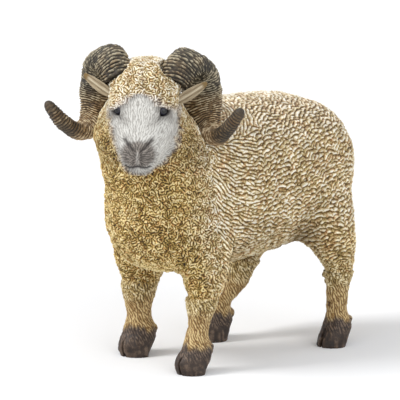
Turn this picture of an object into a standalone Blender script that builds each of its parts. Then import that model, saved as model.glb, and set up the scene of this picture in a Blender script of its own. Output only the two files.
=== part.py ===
"""Toy farm animal: a standing woolly ram, moulded in soft plastic as separate pieces that plug together.

The body is a hollow pair of half shells closed along the middle with pins. The head, the two horns, the two
ears, the tail and the four lower legs are solid mouldings, each with a peg or a tongue in a socket.
The figure stands on Z = 0 with its nose towards -Y and its own left side on +X.
"""

import math

import bmesh
import bpy
import numpy as np
from mathutils import Matrix, Vector

MM = 0.001

# Fits and working values shared by all pieces
SEAT_GAP = 0.3 * MM
CUTTER_OVERRUN = 2 * MM
CUTTER_REACH = 200 * MM
ROUND_SIDES = 20
SHARP_EDGE = math.radians(35)

# Wool body: the barrel from the brisket to the rump
TORSO_LENGTH = 75.5 * MM
TORSO_WIDTH = 35 * MM
BACK_HEIGHT = 69.3 * MM
BELLY_HEIGHT = 26 * MM
BRISKET_Y = -39.5 * MM
TORSO_SQUARENESS = 2.35
TORSO_SIDES = 32
# along, top, bottom, half width: shares of length, of the depth above the belly, and of half the width
TORSO_SHARES = (
    (0.00, 0.52, 0.28, 0.22),
    (0.03, 0.70, 0.15, 0.55),
    (0.10, 0.84, 0.03, 0.79),
    (0.20, 0.93, -0.03, 0.94),
    (0.36, 0.99, -0.02, 1.00),
    (0.52, 1.00, 0.00, 1.00),
    (0.67, 0.99, 0.02, 0.99),
    (0.80, 0.95, 0.05, 0.95),
    (0.90, 0.86, 0.12, 0.85),
    (0.965, 0.72, 0.24, 0.66),
    (1.00, 0.58, 0.38, 0.32),
)

# Hollow inside the body and the pins that register its two halves
BODY_WALL = 3.2 * MM
HOLLOW_SIDES = 20
HOLLOW_LEAST_HEIGHT_SHARE = 0.1
HOLLOW_LEAST_WIDTH_SHARE = 0.2
PIN_DIAMETER = 3 * MM
PIN_REACH = 5 * MM
PIN_BOSS_DIAMETER = 6.5 * MM
# along and up: shares of the torso's length and of its depth above the belly
PIN_PLACE_SHARES = ((0.26, 0.50), (0.55, 0.84), (0.84, 0.50), (0.55, 0.16))

# Neck and its wool ruff, from the shoulders to the back of the head
NECK_LENGTH = 46 * MM
NECK_DEPTH = 32 * MM
NECK_WIDTH = 0.914 * TORSO_WIDTH
NECK_LEAN_X = 2 * MM
NECK_SQUARENESS = 2.1
NECK_SIDES = 28
# throat y, throat z, nape y, nape z, half width, sideways lean: shares of depth, length, depth, length,
# half the width and the lean, counted from the brisket's front and the belly's height
NECK_SHARES = (
    (0.06, 0.26, 0.92, 0.50, 0.94, 0.00),
    (-0.03, 0.47, 0.90, 0.74, 0.99, 0.25),
    (-0.09, 0.66, 0.72, 0.87, 0.88, 0.25),
    (-0.17, 0.80, 0.58, 0.97, 0.76, 0.10),
    (-0.12, 0.95, 0.50, 1.07, 0.62, 0.35),
    (0.04, 1.06, 0.40, 1.17, 0.46, 0.70),
)

# Head: its centre between the ears, and how far it is turned to its left
HEAD_X = 2 * MM
HEAD_Y = -32.6 * MM
HEAD_Z = 76 * MM
HEAD_TURN = math.radians(41)
HEAD_LENGTH = 18 * MM
HEAD_HEIGHT = 19 * MM
HEAD_WIDTH = 18.6 * MM
HEAD_SQUARENESS = 2.4
HEAD_SIDES = 28
# bridge forward, bridge up, jaw forward, jaw up, half width: shares of length, height, length, height and
# half the width, counted from the head's centre
FACE_SHARES = (
    (-0.20, 0.46, -0.50, 0.16, 0.62),
    (0.22, 0.42, -0.44, -0.21, 0.93),
    (0.48, 0.20, -0.22, -0.58, 1.00),
    (0.63, -0.06, 0.08, -0.69, 0.97),
    (0.77, -0.33, 0.34, -0.84, 0.83),
    (0.89, -0.57, 0.54, -0.95, 0.62),
    (0.98, -0.74, 0.69, -1.00, 0.50),
    (0.97, -0.87, 0.76, -1.03, 0.42),
    (0.91, -0.98, 0.80, -1.05, 0.28),
)
# Wool on the head: the cap on the poll and a cheek pad each side
CAP_WIDTH = 20 * MM
CAP_LENGTH = 17 * MM
CAP_HEIGHT = 12.5 * MM
CAP_UP = 2.2 * MM
CAP_BACK = 0 * MM
CHEEK_WIDTH = 8.4 * MM
CHEEK_LENGTH = 14 * MM
CHEEK_HEIGHT = 18 * MM
CHEEK_SIDE = 6.2 * MM
CHEEK_BACK = -0.6 * MM
CHEEK_DROP = 7.6 * MM

# Eyes, nostrils and mouth
EYE_DIAMETER = 3.2 * MM
EYE_SIDE = 6.6 * MM
EYE_FORWARD = 9.4 * MM
EYE_DROP = 3.9 * MM
LID_DIAMETER = 3.8 * MM
LID_LIFT = 0.9 * MM
LID_BACK = 1 * MM
NOSTRIL_LENGTH = 3.4 * MM
NOSTRIL_WIDTH = 1 * MM
NOSTRIL_SIDE = 2.2 * MM
NOSTRIL_FORWARD = 17.6 * MM
NOSTRIL_DROP = 12.6 * MM
NOSTRIL_SPLAY = math.radians(38)
MOUTH_WIDTH = 7 * MM
MOUTH_HEIGHT = 0.6 * MM
MOUTH_DEPTH = 1.6 * MM
MOUTH_FORWARD = 17.4 * MM
MOUTH_DROP = 17.3 * MM

# Joint between neck and head: a tilted flat face with a round spigot
NECK_SEAM_X = 1.2 * MM
NECK_SEAM_Y = -29 * MM
NECK_SEAM_Z = 70 * MM
NECK_SEAM_LEAN_SHARES = (0.35, -0.60, 0.72)
NECK_SPIGOT_DIAMETER = 10 * MM
NECK_SPIGOT_LENGTH = 6 * MM

# Horns: a coil about the head's sideways axis that opens outwards to the tip. The section is broad across the
# coil and leans towards the coil's middle at the base
HORN_COIL_RISE = 9.9 * MM
HORN_COIL_REACH = 7 * MM
HORN_COIL_BACK = 4.1 * MM
HORN_COIL_DROP = 2.4 * MM
HORN_START_TURN = math.radians(36)
HORN_SWEEP = math.radians(320)
HORN_BASE_SIDE = 7.1 * MM
HORN_TIP_SIDE = 26.2 * MM
HORN_BASE_BREADTH = 8.7 * MM
HORN_TIP_BREADTH = 2.8 * MM
HORN_BASE_LEAN = math.radians(45)
HORN_RINGS = 36
HORN_RINGED_SHARE = 0.97
# the point past the last ring: shares of the horn's length and of the tip's half breadth taken off
HORN_POINT_SHARES = ((0.985, 0.18), (1.0, 0.6))
HORN_RING_DEPTH = 0.32 * MM
HORN_SIDES = 12
# how far out along the horn, at even steps from base to tip: shares of base to tip side
HORN_OUTWARD_SHARES = (0.00, 0.18, 0.32, 0.365, 0.460, 0.69, 1.00)
# breadth at the same steps: shares of base to tip breadth, 1 at the base
HORN_TAPER_SHARES = (1.00, 1.06, 1.16, 1.14, 0.62, 0.33, 0.00)
# thickness over breadth, and the lean as a share of the base's, at the same steps
HORN_FLATNESS_SHARES = (0.78, 0.69, 0.62, 0.60, 0.76, 0.86, 1.00)
HORN_LEAN_SHARES = (1.00, 0.78, 0.45, 0.18, 0.00, 0.00, 0.00)
HORN_PEG_DIAMETER = 3.4 * MM
HORN_PEG_LENGTH = 3.6 * MM

# Ears: a cupped leaf with a root that sits in the cheek wool
EAR_LENGTH = 11.8 * MM
EAR_WIDTH = 3.1 * MM
EAR_THICKNESS = 1.5 * MM
EAR_SIDES = 12
EAR_CUP = 0.9 * MM
# the rim's thickness at the ear's ends over that at its widest place
EAR_RIM_SHARE = 0.5
EAR_ROOT_SIDE = 6.6 * MM
EAR_ROOT_FORWARD = 3.3 * MM
EAR_ROOT_DROP_LEFT = 4.3 * MM
EAR_ROOT_DROP_RIGHT = 1.9 * MM
EAR_RISE = math.radians(29)
EAR_SWEEP_BACK = math.radians(20)
# along, half width: shares of the length and of half the width
EAR_SHARES = ((0.0, 0.62), (0.22, 0.72), (0.45, 1.0), (0.68, 0.92), (0.86, 0.6), (1.0, 0.16))

# Tail: hangs down the rump, with its root held between the body halves
TAIL_LENGTH = 24 * MM
TAIL_WIDTH = 9 * MM
TAIL_THICKNESS = 7 * MM
TAIL_SIDES = 16
TAIL_ROOT_Z = 57 * MM
TAIL_ROOT_BACK = 0.6 * MM
# down, out from the rump's end, half width, half thickness: shares of length, thickness, half width, half thickness
TAIL_SHARES = (
    (-0.06, -0.75, 0.55, 0.55),
    (0.06, -0.30, 0.85, 0.85),
    (0.25, 0.12, 1.00, 1.00),
    (0.50, 0.26, 0.95, 0.95),
    (0.75, 0.22, 0.80, 0.80),
    (0.92, 0.12, 0.60, 0.60),
    (1.00, 0.05, 0.25, 0.25),
)

# Legs: woolly above the seam, moulded in one with the body, and bare below it
LEG_SEAM_Z = 20.5 * MM
TRACK_WIDTH = 0.76 * TORSO_WIDTH
HIP_HEIGHT = 48 * MM
LEG_THICKNESS = 9.4 * MM
HOOF_LENGTH = 8.4 * MM
LEG_SIDES = 16
LEG_SPIGOT_DIAMETER = 4.4 * MM
LEG_SPIGOT_LENGTH = 6 * MM
FRONT_LEG_Y = -20.5 * MM
REAR_LEG_Y = 25.4 * MM
# How far each hoof stands ahead of the leg's own place. The lean ends at the fetlock, so the hoof stands flat
FETLOCK_SHARE = 0.2
LEAN_POWER = 2.2
STEP_FRONT_LEFT = 4.2 * MM
STEP_FRONT_RIGHT = 0.5 * MM
STEP_REAR_LEFT = 0 * MM
STEP_REAR_RIGHT = 19 * MM
# up, front, back, half width, sideways: shares of the hip's height, the leg's thickness (three times) and half the track
FRONT_LEG_SHARES = (
    (0.90, -0.95, 0.95, 0.66, 0.80),
    (0.72, -0.86, 0.86, 0.72, 0.86),
    (0.56, -0.66, 0.64, 0.60, 0.93),
    (0.43, -0.47, 0.47, 0.46, 0.98),
    (0.34, -0.42, 0.38, 0.40, 1.00),
    (0.26, -0.33, 0.31, 0.32, 1.00),
    (0.20, -0.32, 0.34, 0.32, 1.00),
    (0.165, -0.36, 0.42, 0.36, 1.00),
)
REAR_LEG_SHARES = (
    (1.00, -1.80, 0.72, 0.70, 0.64),
    (0.79, -1.45, 0.78, 0.82, 0.74),
    (0.61, -1.10, 0.68, 0.74, 0.90),
    (0.50, -0.72, 0.61, 0.56, 0.96),
    (0.42, -0.46, 0.53, 0.45, 1.00),
    (0.34, -0.33, 0.37, 0.33, 1.00),
    (0.22, -0.31, 0.29, 0.30, 1.00),
    (0.165, -0.34, 0.38, 0.34, 1.00),
)
# The same five values for the hoof, with front and back as shares of the hoof's length
HOOF_SHARES = (
    (0.125, -0.42, 0.46, 0.40, 1.00),
    (0.085, -0.54, 0.45, 0.44, 1.00),
    (0.040, -0.64, 0.40, 0.46, 1.00),
    (0.000, -0.72, 0.34, 0.46, 1.00),
    (-0.030, -0.76, 0.30, 0.46, 1.00),
)
CLEFT_WIDTH = 0.7 * MM
CLEFT_DEPTH = 2.6 * MM
CLEFT_HEIGHT = 5.2 * MM
DEWCLAW_DIAMETER = 2 * MM
DEWCLAW_SIDE = 1.7 * MM
DEWCLAW_Z = 7 * MM

# Sculpting of the wool body: working cell, softening rounds and the facets kept
SKIN_CELL = 0.8 * MM
SKIN_SOFTENING_COUNT = 7
SKIN_SOFTENING = 0.5
BODY_FACETS = 4600
HEAD_CELL = 0.55 * MM
HEAD_SOFTENING_COUNT = 5
HEAD_FACETS = 3800

WOOL = (0.62, 0.50, 0.30, 0.85)
FACE_WHITE = (0.80, 0.79, 0.76, 0.7)
HORN_BROWN = (0.19, 0.14, 0.08, 0.6)
EAR_CREAM = (0.55, 0.46, 0.34, 0.8)
LEG_TAN = (0.46, 0.33, 0.18, 0.8)


def clear_scene():
    """Starts from an empty scene."""
    for old in list(bpy.data.objects):
        bpy.data.objects.remove(old)


def material(name, look):
    """A painted plastic of one colour: red, green, blue, roughness."""
    made = bpy.data.materials.new(name)
    made.use_nodes = True
    shader = made.node_tree.nodes["Principled BSDF"]
    shader.inputs["Base Color"].default_value = (*look[:3], 1)
    shader.inputs["Roughness"].default_value = look[3]
    shader.inputs["Metallic"].default_value = 0
    return made


def new_object(name, mesh):
    """Links a mesh to the scene as an object."""
    made = bpy.data.objects.new(name, mesh)
    bpy.context.scene.collection.objects.link(made)
    return made


def remove(*objects):
    """Takes helper objects out of the scene."""
    for one in objects:
        bpy.data.objects.remove(one)


def through_rows(rows, steps):
    """A smooth curve through the rows of a table, with that many points for each span."""
    table = np.array(rows, float)
    padded = np.vstack([2 * table[0] - table[1], table, 2 * table[-1] - table[-2]])
    found = []
    for first in range(len(table) - 1):
        before, start, end, after = padded[first : first + 4]
        for step in range(steps):
            t = step / steps
            found.append(
                start
                + 0.5 * t * (end - before)
                + t * t * (before - 2.5 * start + 2 * end - 0.5 * after)
                + t * t * t * (1.5 * (start - end) + 0.5 * (after - before))
            )
    return np.array([*found, table[-1]])


def ring(centre, across, up, sides, squareness=2.0):
    """Points of a rounded section: an ellipse at squareness 2, nearer a box above it."""
    points = []
    for side in range(sides):
        angle = 2 * math.pi * side / sides
        cosine = math.cos(angle)
        sine = math.sin(angle)
        x = math.copysign(abs(cosine) ** (2 / squareness), cosine)
        y = math.copysign(abs(sine) ** (2 / squareness), sine)
        points.append(centre + across * x + up * y)
    return points


def loft(name, rings):
    """A closed solid through rings of equally many points."""
    shape = bmesh.new()
    loops = [[shape.verts.new(point) for point in points] for points in rings]
    for near, far in zip(loops, loops[1:], strict=False):
        for side in range(len(near)):
            after = (side + 1) % len(near)
            shape.faces.new((near[side], near[after], far[after], far[side]))
    shape.faces.new(reversed(loops[0]))
    shape.faces.new(loops[-1])
    bmesh.ops.recalc_face_normals(shape, faces=shape.faces)
    mesh = bpy.data.meshes.new(name)
    shape.to_mesh(mesh)
    shape.free()
    return new_object(name, mesh)


def side_view_loft(name, rows, sides, squareness=2.0, place=None):
    """A solid from its side view: rows of front y, front z, back y, back z, half width and x."""
    rings = []
    for front_y, front_z, back_y, back_z, half_width, x in rows:
        centre = Vector((x, (front_y + back_y) / 2, (front_z + back_z) / 2))
        up = Vector((0, (front_y - back_y) / 2, (front_z - back_z) / 2))
        rings.append(ring(centre, Vector((half_width, 0, 0)), up, sides, squareness))
    made = loft(name, rings)
    if place is not None:
        made.data.transform(place)
    return made


def ball(name, size, place):
    """An ellipsoid of that size on its own three axes, moved by a matrix."""
    shape = bmesh.new()
    bmesh.ops.create_uvsphere(shape, u_segments=ROUND_SIDES, v_segments=ROUND_SIDES // 2, radius=0.5)
    shape.transform(place @ Matrix.Diagonal((*size, 1)))
    mesh = bpy.data.meshes.new(name)
    shape.to_mesh(mesh)
    shape.free()
    return new_object(name, mesh)


def rod(name, diameter, start, end):
    """A round bar between two points."""
    start = Vector(start)
    end = Vector(end)
    along = end - start
    turn = along.to_track_quat("Z", "Y").to_matrix().to_4x4()
    shape = bmesh.new()
    bmesh.ops.create_cone(
        shape,
        cap_ends=True,
        segments=ROUND_SIDES,
        radius1=diameter / 2,
        radius2=diameter / 2,
        depth=along.length,
        matrix=Matrix.Translation((start + end) / 2) @ turn,
    )
    mesh = bpy.data.meshes.new(name)
    shape.to_mesh(mesh)
    shape.free()
    return new_object(name, mesh)


def block(name, size, place):
    """A box of that size, moved by a matrix."""
    shape = bmesh.new()
    bmesh.ops.create_cube(shape, size=1)
    shape.transform(place @ Matrix.Diagonal((*size, 1)))
    mesh = bpy.data.meshes.new(name)
    shape.to_mesh(mesh)
    shape.free()
    return new_object(name, mesh)


def half_space(point, direction):
    """Everything on the far side of a plane, as a big block."""
    direction = Vector(direction).normalized()
    turn = direction.to_track_quat("Z", "Y").to_matrix().to_4x4()
    middle = Vector(point) + direction * CUTTER_REACH / 2
    return block("half_space", (CUTTER_REACH,) * 3, Matrix.Translation(middle) @ turn)


def evaluated_mesh(obj):
    """The mesh that an object's modifiers give."""
    bpy.context.view_layer.update()
    graph = bpy.context.evaluated_depsgraph_get()
    return bpy.data.meshes.new_from_object(obj.evaluated_get(graph))


def settle(obj):
    """Applies an object's modifiers."""
    mesh = evaluated_mesh(obj)
    obj.modifiers.clear()
    obj.data = mesh
    return obj


def combine(obj, tool, operation):
    """Joins, cuts or intersects with another solid, which is then removed."""
    step = obj.modifiers.new(operation.lower(), "BOOLEAN")
    step.operation = operation
    step.solver = "EXACT"
    step.object = tool
    settle(obj)
    remove(tool)
    return obj


def cut(obj, tool):
    """Takes a solid away."""
    return combine(obj, tool, "DIFFERENCE")


def join(obj, tool):
    """Adds a solid."""
    return combine(obj, tool, "UNION")


def copy_of(obj, name):
    """A second object with its own copy of the mesh."""
    return new_object(name, obj.data.copy())


def keep_main_solid(obj):
    """Drops the slivers that a cut leaves loose and keeps the one big solid."""
    shape = bmesh.new()
    shape.from_mesh(obj.data)
    groups = []
    waiting = set(shape.verts)
    while waiting:
        stack = [waiting.pop()]
        group = set(stack)
        while stack:
            for edge in stack.pop().link_edges:
                for vertex in edge.verts:
                    if vertex not in group:
                        group.add(vertex)
                        stack.append(vertex)
        waiting -= group
        groups.append(group)
    groups.sort(key=len)
    for group in groups[:-1]:
        bmesh.ops.delete(shape, geom=list(group), context="VERTS")
    shape.to_mesh(obj.data)
    shape.free()
    return obj


def fused(name, forms, cell, rounds, facets):
    """Melts overlapping forms into one skin with soft creases, as a sculptor blends clay."""
    shape = bmesh.new()
    for form in forms:
        shape.from_mesh(form.data)
    mesh = bpy.data.meshes.new(name)
    shape.to_mesh(mesh)
    shape.free()
    made = new_object(name, mesh)
    melt = made.modifiers.new("melt", "REMESH")
    melt.mode = "VOXEL"
    melt.voxel_size = cell
    soften = made.modifiers.new("soften", "SMOOTH")
    soften.factor = SKIN_SOFTENING
    soften.iterations = rounds
    settle(made)
    thin = made.modifiers.new("thin", "DECIMATE")
    thin.ratio = facets / (2 * len(made.data.polygons))
    settle(made)
    return made


def finish(obj, look):
    """Gives a piece its material and smooth shading."""
    obj.data.materials.clear()
    obj.data.materials.append(look)
    obj.data.shade_smooth()
    obj.data.set_sharp_from_angle(angle=SHARP_EDGE)
    return obj


def torso_rows(inset):
    """The barrel's side view, drawn in by a wall thickness where it is a hollow."""
    depth = BACK_HEIGHT - BELLY_HEIGHT
    rows = []
    for along, top, bottom, half_width in TORSO_SHARES:
        middle = TORSO_LENGTH * (along - 0.5)
        y = BRISKET_Y + TORSO_LENGTH / 2 + middle * (1 - 2 * inset / TORSO_LENGTH)
        top_z = BELLY_HEIGHT + depth * top
        bottom_z = BELLY_HEIGHT + depth * bottom
        tall = top_z - bottom_z
        wide = TORSO_WIDTH * half_width / 2
        slim = max(1 - 2 * inset / tall, HOLLOW_LEAST_HEIGHT_SHARE)
        centre_z = (top_z + bottom_z) / 2
        narrow = max(wide - inset, HOLLOW_LEAST_WIDTH_SHARE * wide)
        rows.append((y, centre_z + slim * tall / 2, y, centre_z - slim * tall / 2, narrow, 0))
    return rows


def torso_form():
    """The barrel of the body."""
    rows = through_rows(torso_rows(0), 4)
    return side_view_loft("torso", rows, TORSO_SIDES, TORSO_SQUARENESS)


def neck_form():
    """The neck and ruff, leaning a little to the side that the head is turned to."""
    rows = []
    for throat_y, throat_z, nape_y, nape_z, half_width, lean in NECK_SHARES:
        rows.append(
            (
                BRISKET_Y + NECK_DEPTH * throat_y,
                BELLY_HEIGHT + NECK_LENGTH * throat_z,
                BRISKET_Y + NECK_DEPTH * nape_y,
                BELLY_HEIGHT + NECK_LENGTH * nape_z,
                NECK_WIDTH * half_width / 2,
                NECK_LEAN_X * lean,
            )
        )
    return side_view_loft("neck", through_rows(rows, 4), NECK_SIDES, NECK_SQUARENESS)


def head_place():
    """Where the head's own frame lies in the figure."""
    return Matrix.Translation((HEAD_X, HEAD_Y, HEAD_Z)) @ Matrix.Rotation(HEAD_TURN, 4, "Z")


def in_head(side, forward, up):
    """A point given in the head's own frame."""
    return head_place() @ Vector((side, -forward, up))


def face_form():
    """The skull from the poll down the nose to the chin."""
    rows = []
    for bridge, bridge_up, jaw, jaw_up, half_width in FACE_SHARES:
        rows.append(
            (
                -HEAD_LENGTH * bridge,
                HEAD_HEIGHT * bridge_up,
                -HEAD_LENGTH * jaw,
                HEAD_HEIGHT * jaw_up,
                HEAD_WIDTH * half_width / 2,
                0,
            )
        )
    return side_view_loft("face", through_rows(rows, 4), HEAD_SIDES, HEAD_SQUARENESS, head_place())


def head_wool_forms():
    """The wool cap, the two cheek pads and the eyelids."""
    place = head_place()
    cap_at = place @ Matrix.Translation((0, CAP_BACK, CAP_UP))
    forms = [ball("cap", (CAP_WIDTH, CAP_LENGTH, CAP_HEIGHT), cap_at)]
    for side in (-1, 1):
        cheek_at = place @ Matrix.Translation((side * CHEEK_SIDE, CHEEK_BACK, -CHEEK_DROP))
        forms.append(ball("cheek", (CHEEK_WIDTH, CHEEK_LENGTH, CHEEK_HEIGHT), cheek_at))
        lid_at = Matrix.Translation(in_head(side * EYE_SIDE, EYE_FORWARD - LID_BACK, LID_LIFT - EYE_DROP))
        forms.append(ball("lid", (LID_DIAMETER,) * 3, lid_at))
    return forms


def leg_rows(shares, y, side, step):
    """A leg's side view from hip to sole. The step leans it forward from the hip."""
    rows = []
    for table, length in ((shares, LEG_THICKNESS), (HOOF_SHARES, HOOF_LENGTH)):
        for up, front, back, half_width, sideways in table:
            z = HIP_HEIGHT * up
            leant = y - step * min((1 - up) / (1 - FETLOCK_SHARE), 1) ** LEAN_POWER
            x = side * TRACK_WIDTH / 2 * sideways
            rows.append((leant + front * length, z, leant + back * length, z, LEG_THICKNESS * half_width, x))
    return rows


LEGS = (
    ("front_left_leg", FRONT_LEG_SHARES, FRONT_LEG_Y, 1, STEP_FRONT_LEFT),
    ("front_right_leg", FRONT_LEG_SHARES, FRONT_LEG_Y, -1, STEP_FRONT_RIGHT),
    ("rear_left_leg", REAR_LEG_SHARES, REAR_LEG_Y, 1, STEP_REAR_LEFT),
    ("rear_right_leg", REAR_LEG_SHARES, REAR_LEG_Y, -1, STEP_REAR_RIGHT),
)


def leg_form(name, shares, y, side, step):
    """One whole leg as a solid."""
    rows = through_rows(leg_rows(shares, y, side, step), 2)
    return side_view_loft(name, rows, LEG_SIDES)


def at_height(rows, z):
    """The row of a side view at a height, between its neighbours."""
    table = np.array(sorted(rows, key=lambda row: row[1]))
    return [float(np.interp(z, table[:, 1], column)) for column in table.T]


def leg_spigot(name, leg, clearance):
    """The peg on top of a lower leg, or its socket when it has clearance."""
    middle = at_height(leg_rows(*leg[1:]), LEG_SEAM_Z)
    centre = Vector((middle[5], (middle[0] + middle[2]) / 2, LEG_SEAM_Z))
    top = centre + Vector((0, 0, LEG_SPIGOT_LENGTH + clearance))
    start = centre - Vector((0, 0, CUTTER_OVERRUN))
    return rod(name, LEG_SPIGOT_DIAMETER + 2 * clearance, start, top)


def lower_leg(leg):
    """A bare lower leg with its cloven hoof and the spigot that plugs into the wool above."""
    name, shares, y, side, step = leg
    made = leg_form(name, shares, y, side, step)
    cut(made, half_space((0, 0, LEG_SEAM_Z - SEAT_GAP / 2), (0, 0, 1)))
    cut(made, half_space((0, 0, 0), (0, 0, -1)))
    hoof = at_height(leg_rows(shares, y, side, step), 0)
    slot_y = hoof[0] + CLEFT_DEPTH / 2 - CUTTER_OVERRUN / 2
    slot = (CLEFT_WIDTH, CLEFT_DEPTH + CUTTER_OVERRUN, CLEFT_HEIGHT + CUTTER_OVERRUN)
    slot_z = CLEFT_HEIGHT / 2 - CUTTER_OVERRUN / 2
    cut(made, block("cleft", slot, Matrix.Translation((hoof[5], slot_y, slot_z))))
    heel = at_height(leg_rows(shares, y, side, step), DEWCLAW_Z)
    for way in (-1, 1):
        at = Matrix.Translation((heel[5] + way * DEWCLAW_SIDE, heel[2] - DEWCLAW_DIAMETER / 2, DEWCLAW_Z))
        join(made, ball("dewclaw", (DEWCLAW_DIAMETER,) * 3, at))
    return join(made, leg_spigot("spigot", leg, 0))


def horn_path(t):
    """The horn's centre line in the head's frame for a share of its length: out, forward, up."""
    out_share = horn_share(t, HORN_OUTWARD_SHARES)
    out = HORN_BASE_SIDE + (HORN_TIP_SIDE - HORN_BASE_SIDE) * out_share
    turn = HORN_START_TURN + HORN_SWEEP * t
    forward = -HORN_COIL_BACK + HORN_COIL_REACH * math.cos(turn)
    up = -HORN_COIL_DROP + HORN_COIL_RISE * math.sin(turn)
    return out, forward, up


def dense(steps, shares):
    """A table of shares as a smooth curve, ready for interpolation."""
    curve = through_rows(list(zip(steps, shares, strict=True)), 8)
    return curve[:, 0], curve[:, 1]


def horn_share(t, shares):
    """The value of a table of shares at a share of the horn's length."""
    steps = np.linspace(0, 1, len(shares))
    return float(np.interp(t, *dense(steps, shares)))


def horn_section(t):
    """Half the breadth, half the thickness and the lean at a share of the horn's length."""
    taper = horn_share(t, HORN_TAPER_SHARES)
    half = (HORN_TIP_BREADTH + (HORN_BASE_BREADTH - HORN_TIP_BREADTH) * taper) / 2
    return half, half * horn_share(t, HORN_FLATNESS_SHARES), HORN_BASE_LEAN * horn_share(t, HORN_LEAN_SHARES)


def horn_tube(name, side, stops, extra):
    """A tube round the horn's centre line. Each stop is a share of the length and a change of radius.

    With extra the tube is that much thicker and reaches that much further back past the base.
    """
    centres = [in_head(side * horn_path(t)[0], *horn_path(t)[1:]) for t, _ in stops]
    outward = head_place().to_3x3() @ Vector((side, 0, 0))
    rings = []
    for index, (t, change) in enumerate(stops):
        before = centres[max(index - 1, 0)]
        after = centres[min(index + 1, len(centres) - 1)]
        along = (after - before).normalized()
        inward = along.cross(outward).normalized() * side
        across = (outward - along * outward.dot(along)).normalized()
        half_breadth, half_thickness, lean = horn_section(t)
        broad = across * math.cos(lean) + inward * math.sin(lean)
        thin = inward * math.cos(lean) - across * math.sin(lean)
        grow = change + extra
        section = ring(centres[index], broad * (half_breadth + grow), thin * (half_thickness + grow), HORN_SIDES)
        if extra and not rings:
            rings.append([point - along * extra for point in section])
        rings.append(section)
    return loft(name, rings)


def horn_stops():
    """Ring by ring: a valley and a crest, then a rounded tip."""
    stops = []
    for step in range(2 * HORN_RINGS + 1):
        change = HORN_RING_DEPTH / 2 if step % 2 else -HORN_RING_DEPTH / 2
        stops.append((HORN_RINGED_SHARE * step / (2 * HORN_RINGS), change))
    for share, drop in HORN_POINT_SHARES:
        stops.append((share, -drop * HORN_TIP_BREADTH / 2))
    return stops


def horn_peg(name, side, clearance):
    """The peg under a horn's base, or its socket when it has clearance."""
    base = in_head(side * horn_path(0)[0], *horn_path(0)[1:])
    first_crest = HORN_RINGED_SHARE / (2 * HORN_RINGS)
    ahead = in_head(side * horn_path(first_crest)[0], *horn_path(first_crest)[1:])
    back = (base - ahead).normalized()
    return rod(
        name,
        HORN_PEG_DIAMETER + 2 * clearance,
        base - back * CUTTER_OVERRUN,
        base + back * (HORN_PEG_LENGTH + clearance),
    )


def horn(name, side):
    """A ringed horn with its peg."""
    made = horn_tube(name, side, horn_stops(), 0)
    return join(made, horn_peg("peg", side, 0))


def horn_room(side, clearance):
    """The room that a horn takes up, with a clearance round it."""
    crests = [HORN_RINGED_SHARE * (ridge + 0.5) / HORN_RINGS for ridge in range(HORN_RINGS)]
    stops = [(t, HORN_RING_DEPTH / 2) for t in (0, *crests, 1)]
    return horn_tube("horn_room", side, stops, clearance)


def ear(name, side, extra):
    """A leaf-shaped ear in the figure's frame, thicker all round by extra."""
    rise = Matrix.Rotation(-EAR_RISE, 4, "Y")
    sweep = Matrix.Rotation(EAR_SWEEP_BACK, 4, "Z")
    mirror = Matrix.Diagonal((side, 1, 1, 1))
    drop = EAR_ROOT_DROP_LEFT if side > 0 else EAR_ROOT_DROP_RIGHT
    root = Matrix.Translation((EAR_ROOT_SIDE, -EAR_ROOT_FORWARD, -drop))
    place = head_place() @ mirror @ root @ sweep @ rise
    rings = []
    for along, half_width in through_rows(EAR_SHARES, 2):
        centre = Vector((EAR_LENGTH * along, 0, 0))
        if along == 0:
            centre -= Vector((extra, 0, 0))
        if along == 1:
            centre += Vector((extra, 0, 0))
        across = Vector((0, 0, EAR_WIDTH / 2 * half_width + extra))
        stout = EAR_RIM_SHARE + (1 - EAR_RIM_SHARE) * half_width
        up = Vector((0, EAR_THICKNESS / 2 * stout + extra, 0))
        section = ring(centre, across, up, EAR_SIDES)
        for point in section:
            point.y -= EAR_CUP * half_width * (point.z / across.z) ** 2
        rings.append([place @ point for point in section])
    return loft(name, rings)


def tail(name, extra):
    """The tail, thicker all round by extra."""
    rump = BRISKET_Y + TORSO_LENGTH + TAIL_ROOT_BACK
    rows = []
    for down, out, half_width, half_thick in TAIL_SHARES:
        z = TAIL_ROOT_Z - TAIL_LENGTH * down
        y = rump + TAIL_THICKNESS * (out - 0.5)
        thick = TAIL_THICKNESS / 2 * half_thick + extra
        rows.append((y + thick, z, y - thick, z, TAIL_WIDTH / 2 * half_width + extra, 0))
    rows[0] = (rows[0][0], rows[0][1] + extra, rows[0][2], rows[0][3] + extra, *rows[0][4:])
    rows[-1] = (rows[-1][0], rows[-1][1] - extra, rows[-1][2], rows[-1][3] - extra, *rows[-1][4:])
    return side_view_loft(name, through_rows(rows, 2), TAIL_SIDES)


def neck_seam_direction():
    """The way that the head leaves the neck."""
    return Vector(NECK_SEAM_LEAN_SHARES).normalized()


def neck_spigot(clearance):
    """The head's spigot, or its socket in the neck when it has clearance."""
    centre = Vector((NECK_SEAM_X, NECK_SEAM_Y, NECK_SEAM_Z))
    away = neck_seam_direction()
    start = centre + away * CUTTER_OVERRUN
    end = centre - away * (NECK_SPIGOT_LENGTH + clearance)
    return rod("neck_spigot", NECK_SPIGOT_DIAMETER + 2 * clearance, start, end)


def head_forms():
    """The neck, the face and the wool on the head, overlapping."""
    return [neck_form(), face_form(), *head_wool_forms()]


def body_forms():
    """The barrel and the whole legs, overlapping each other and the neck."""
    return [torso_form(), *[leg_form(*leg) for leg in LEGS]]


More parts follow.
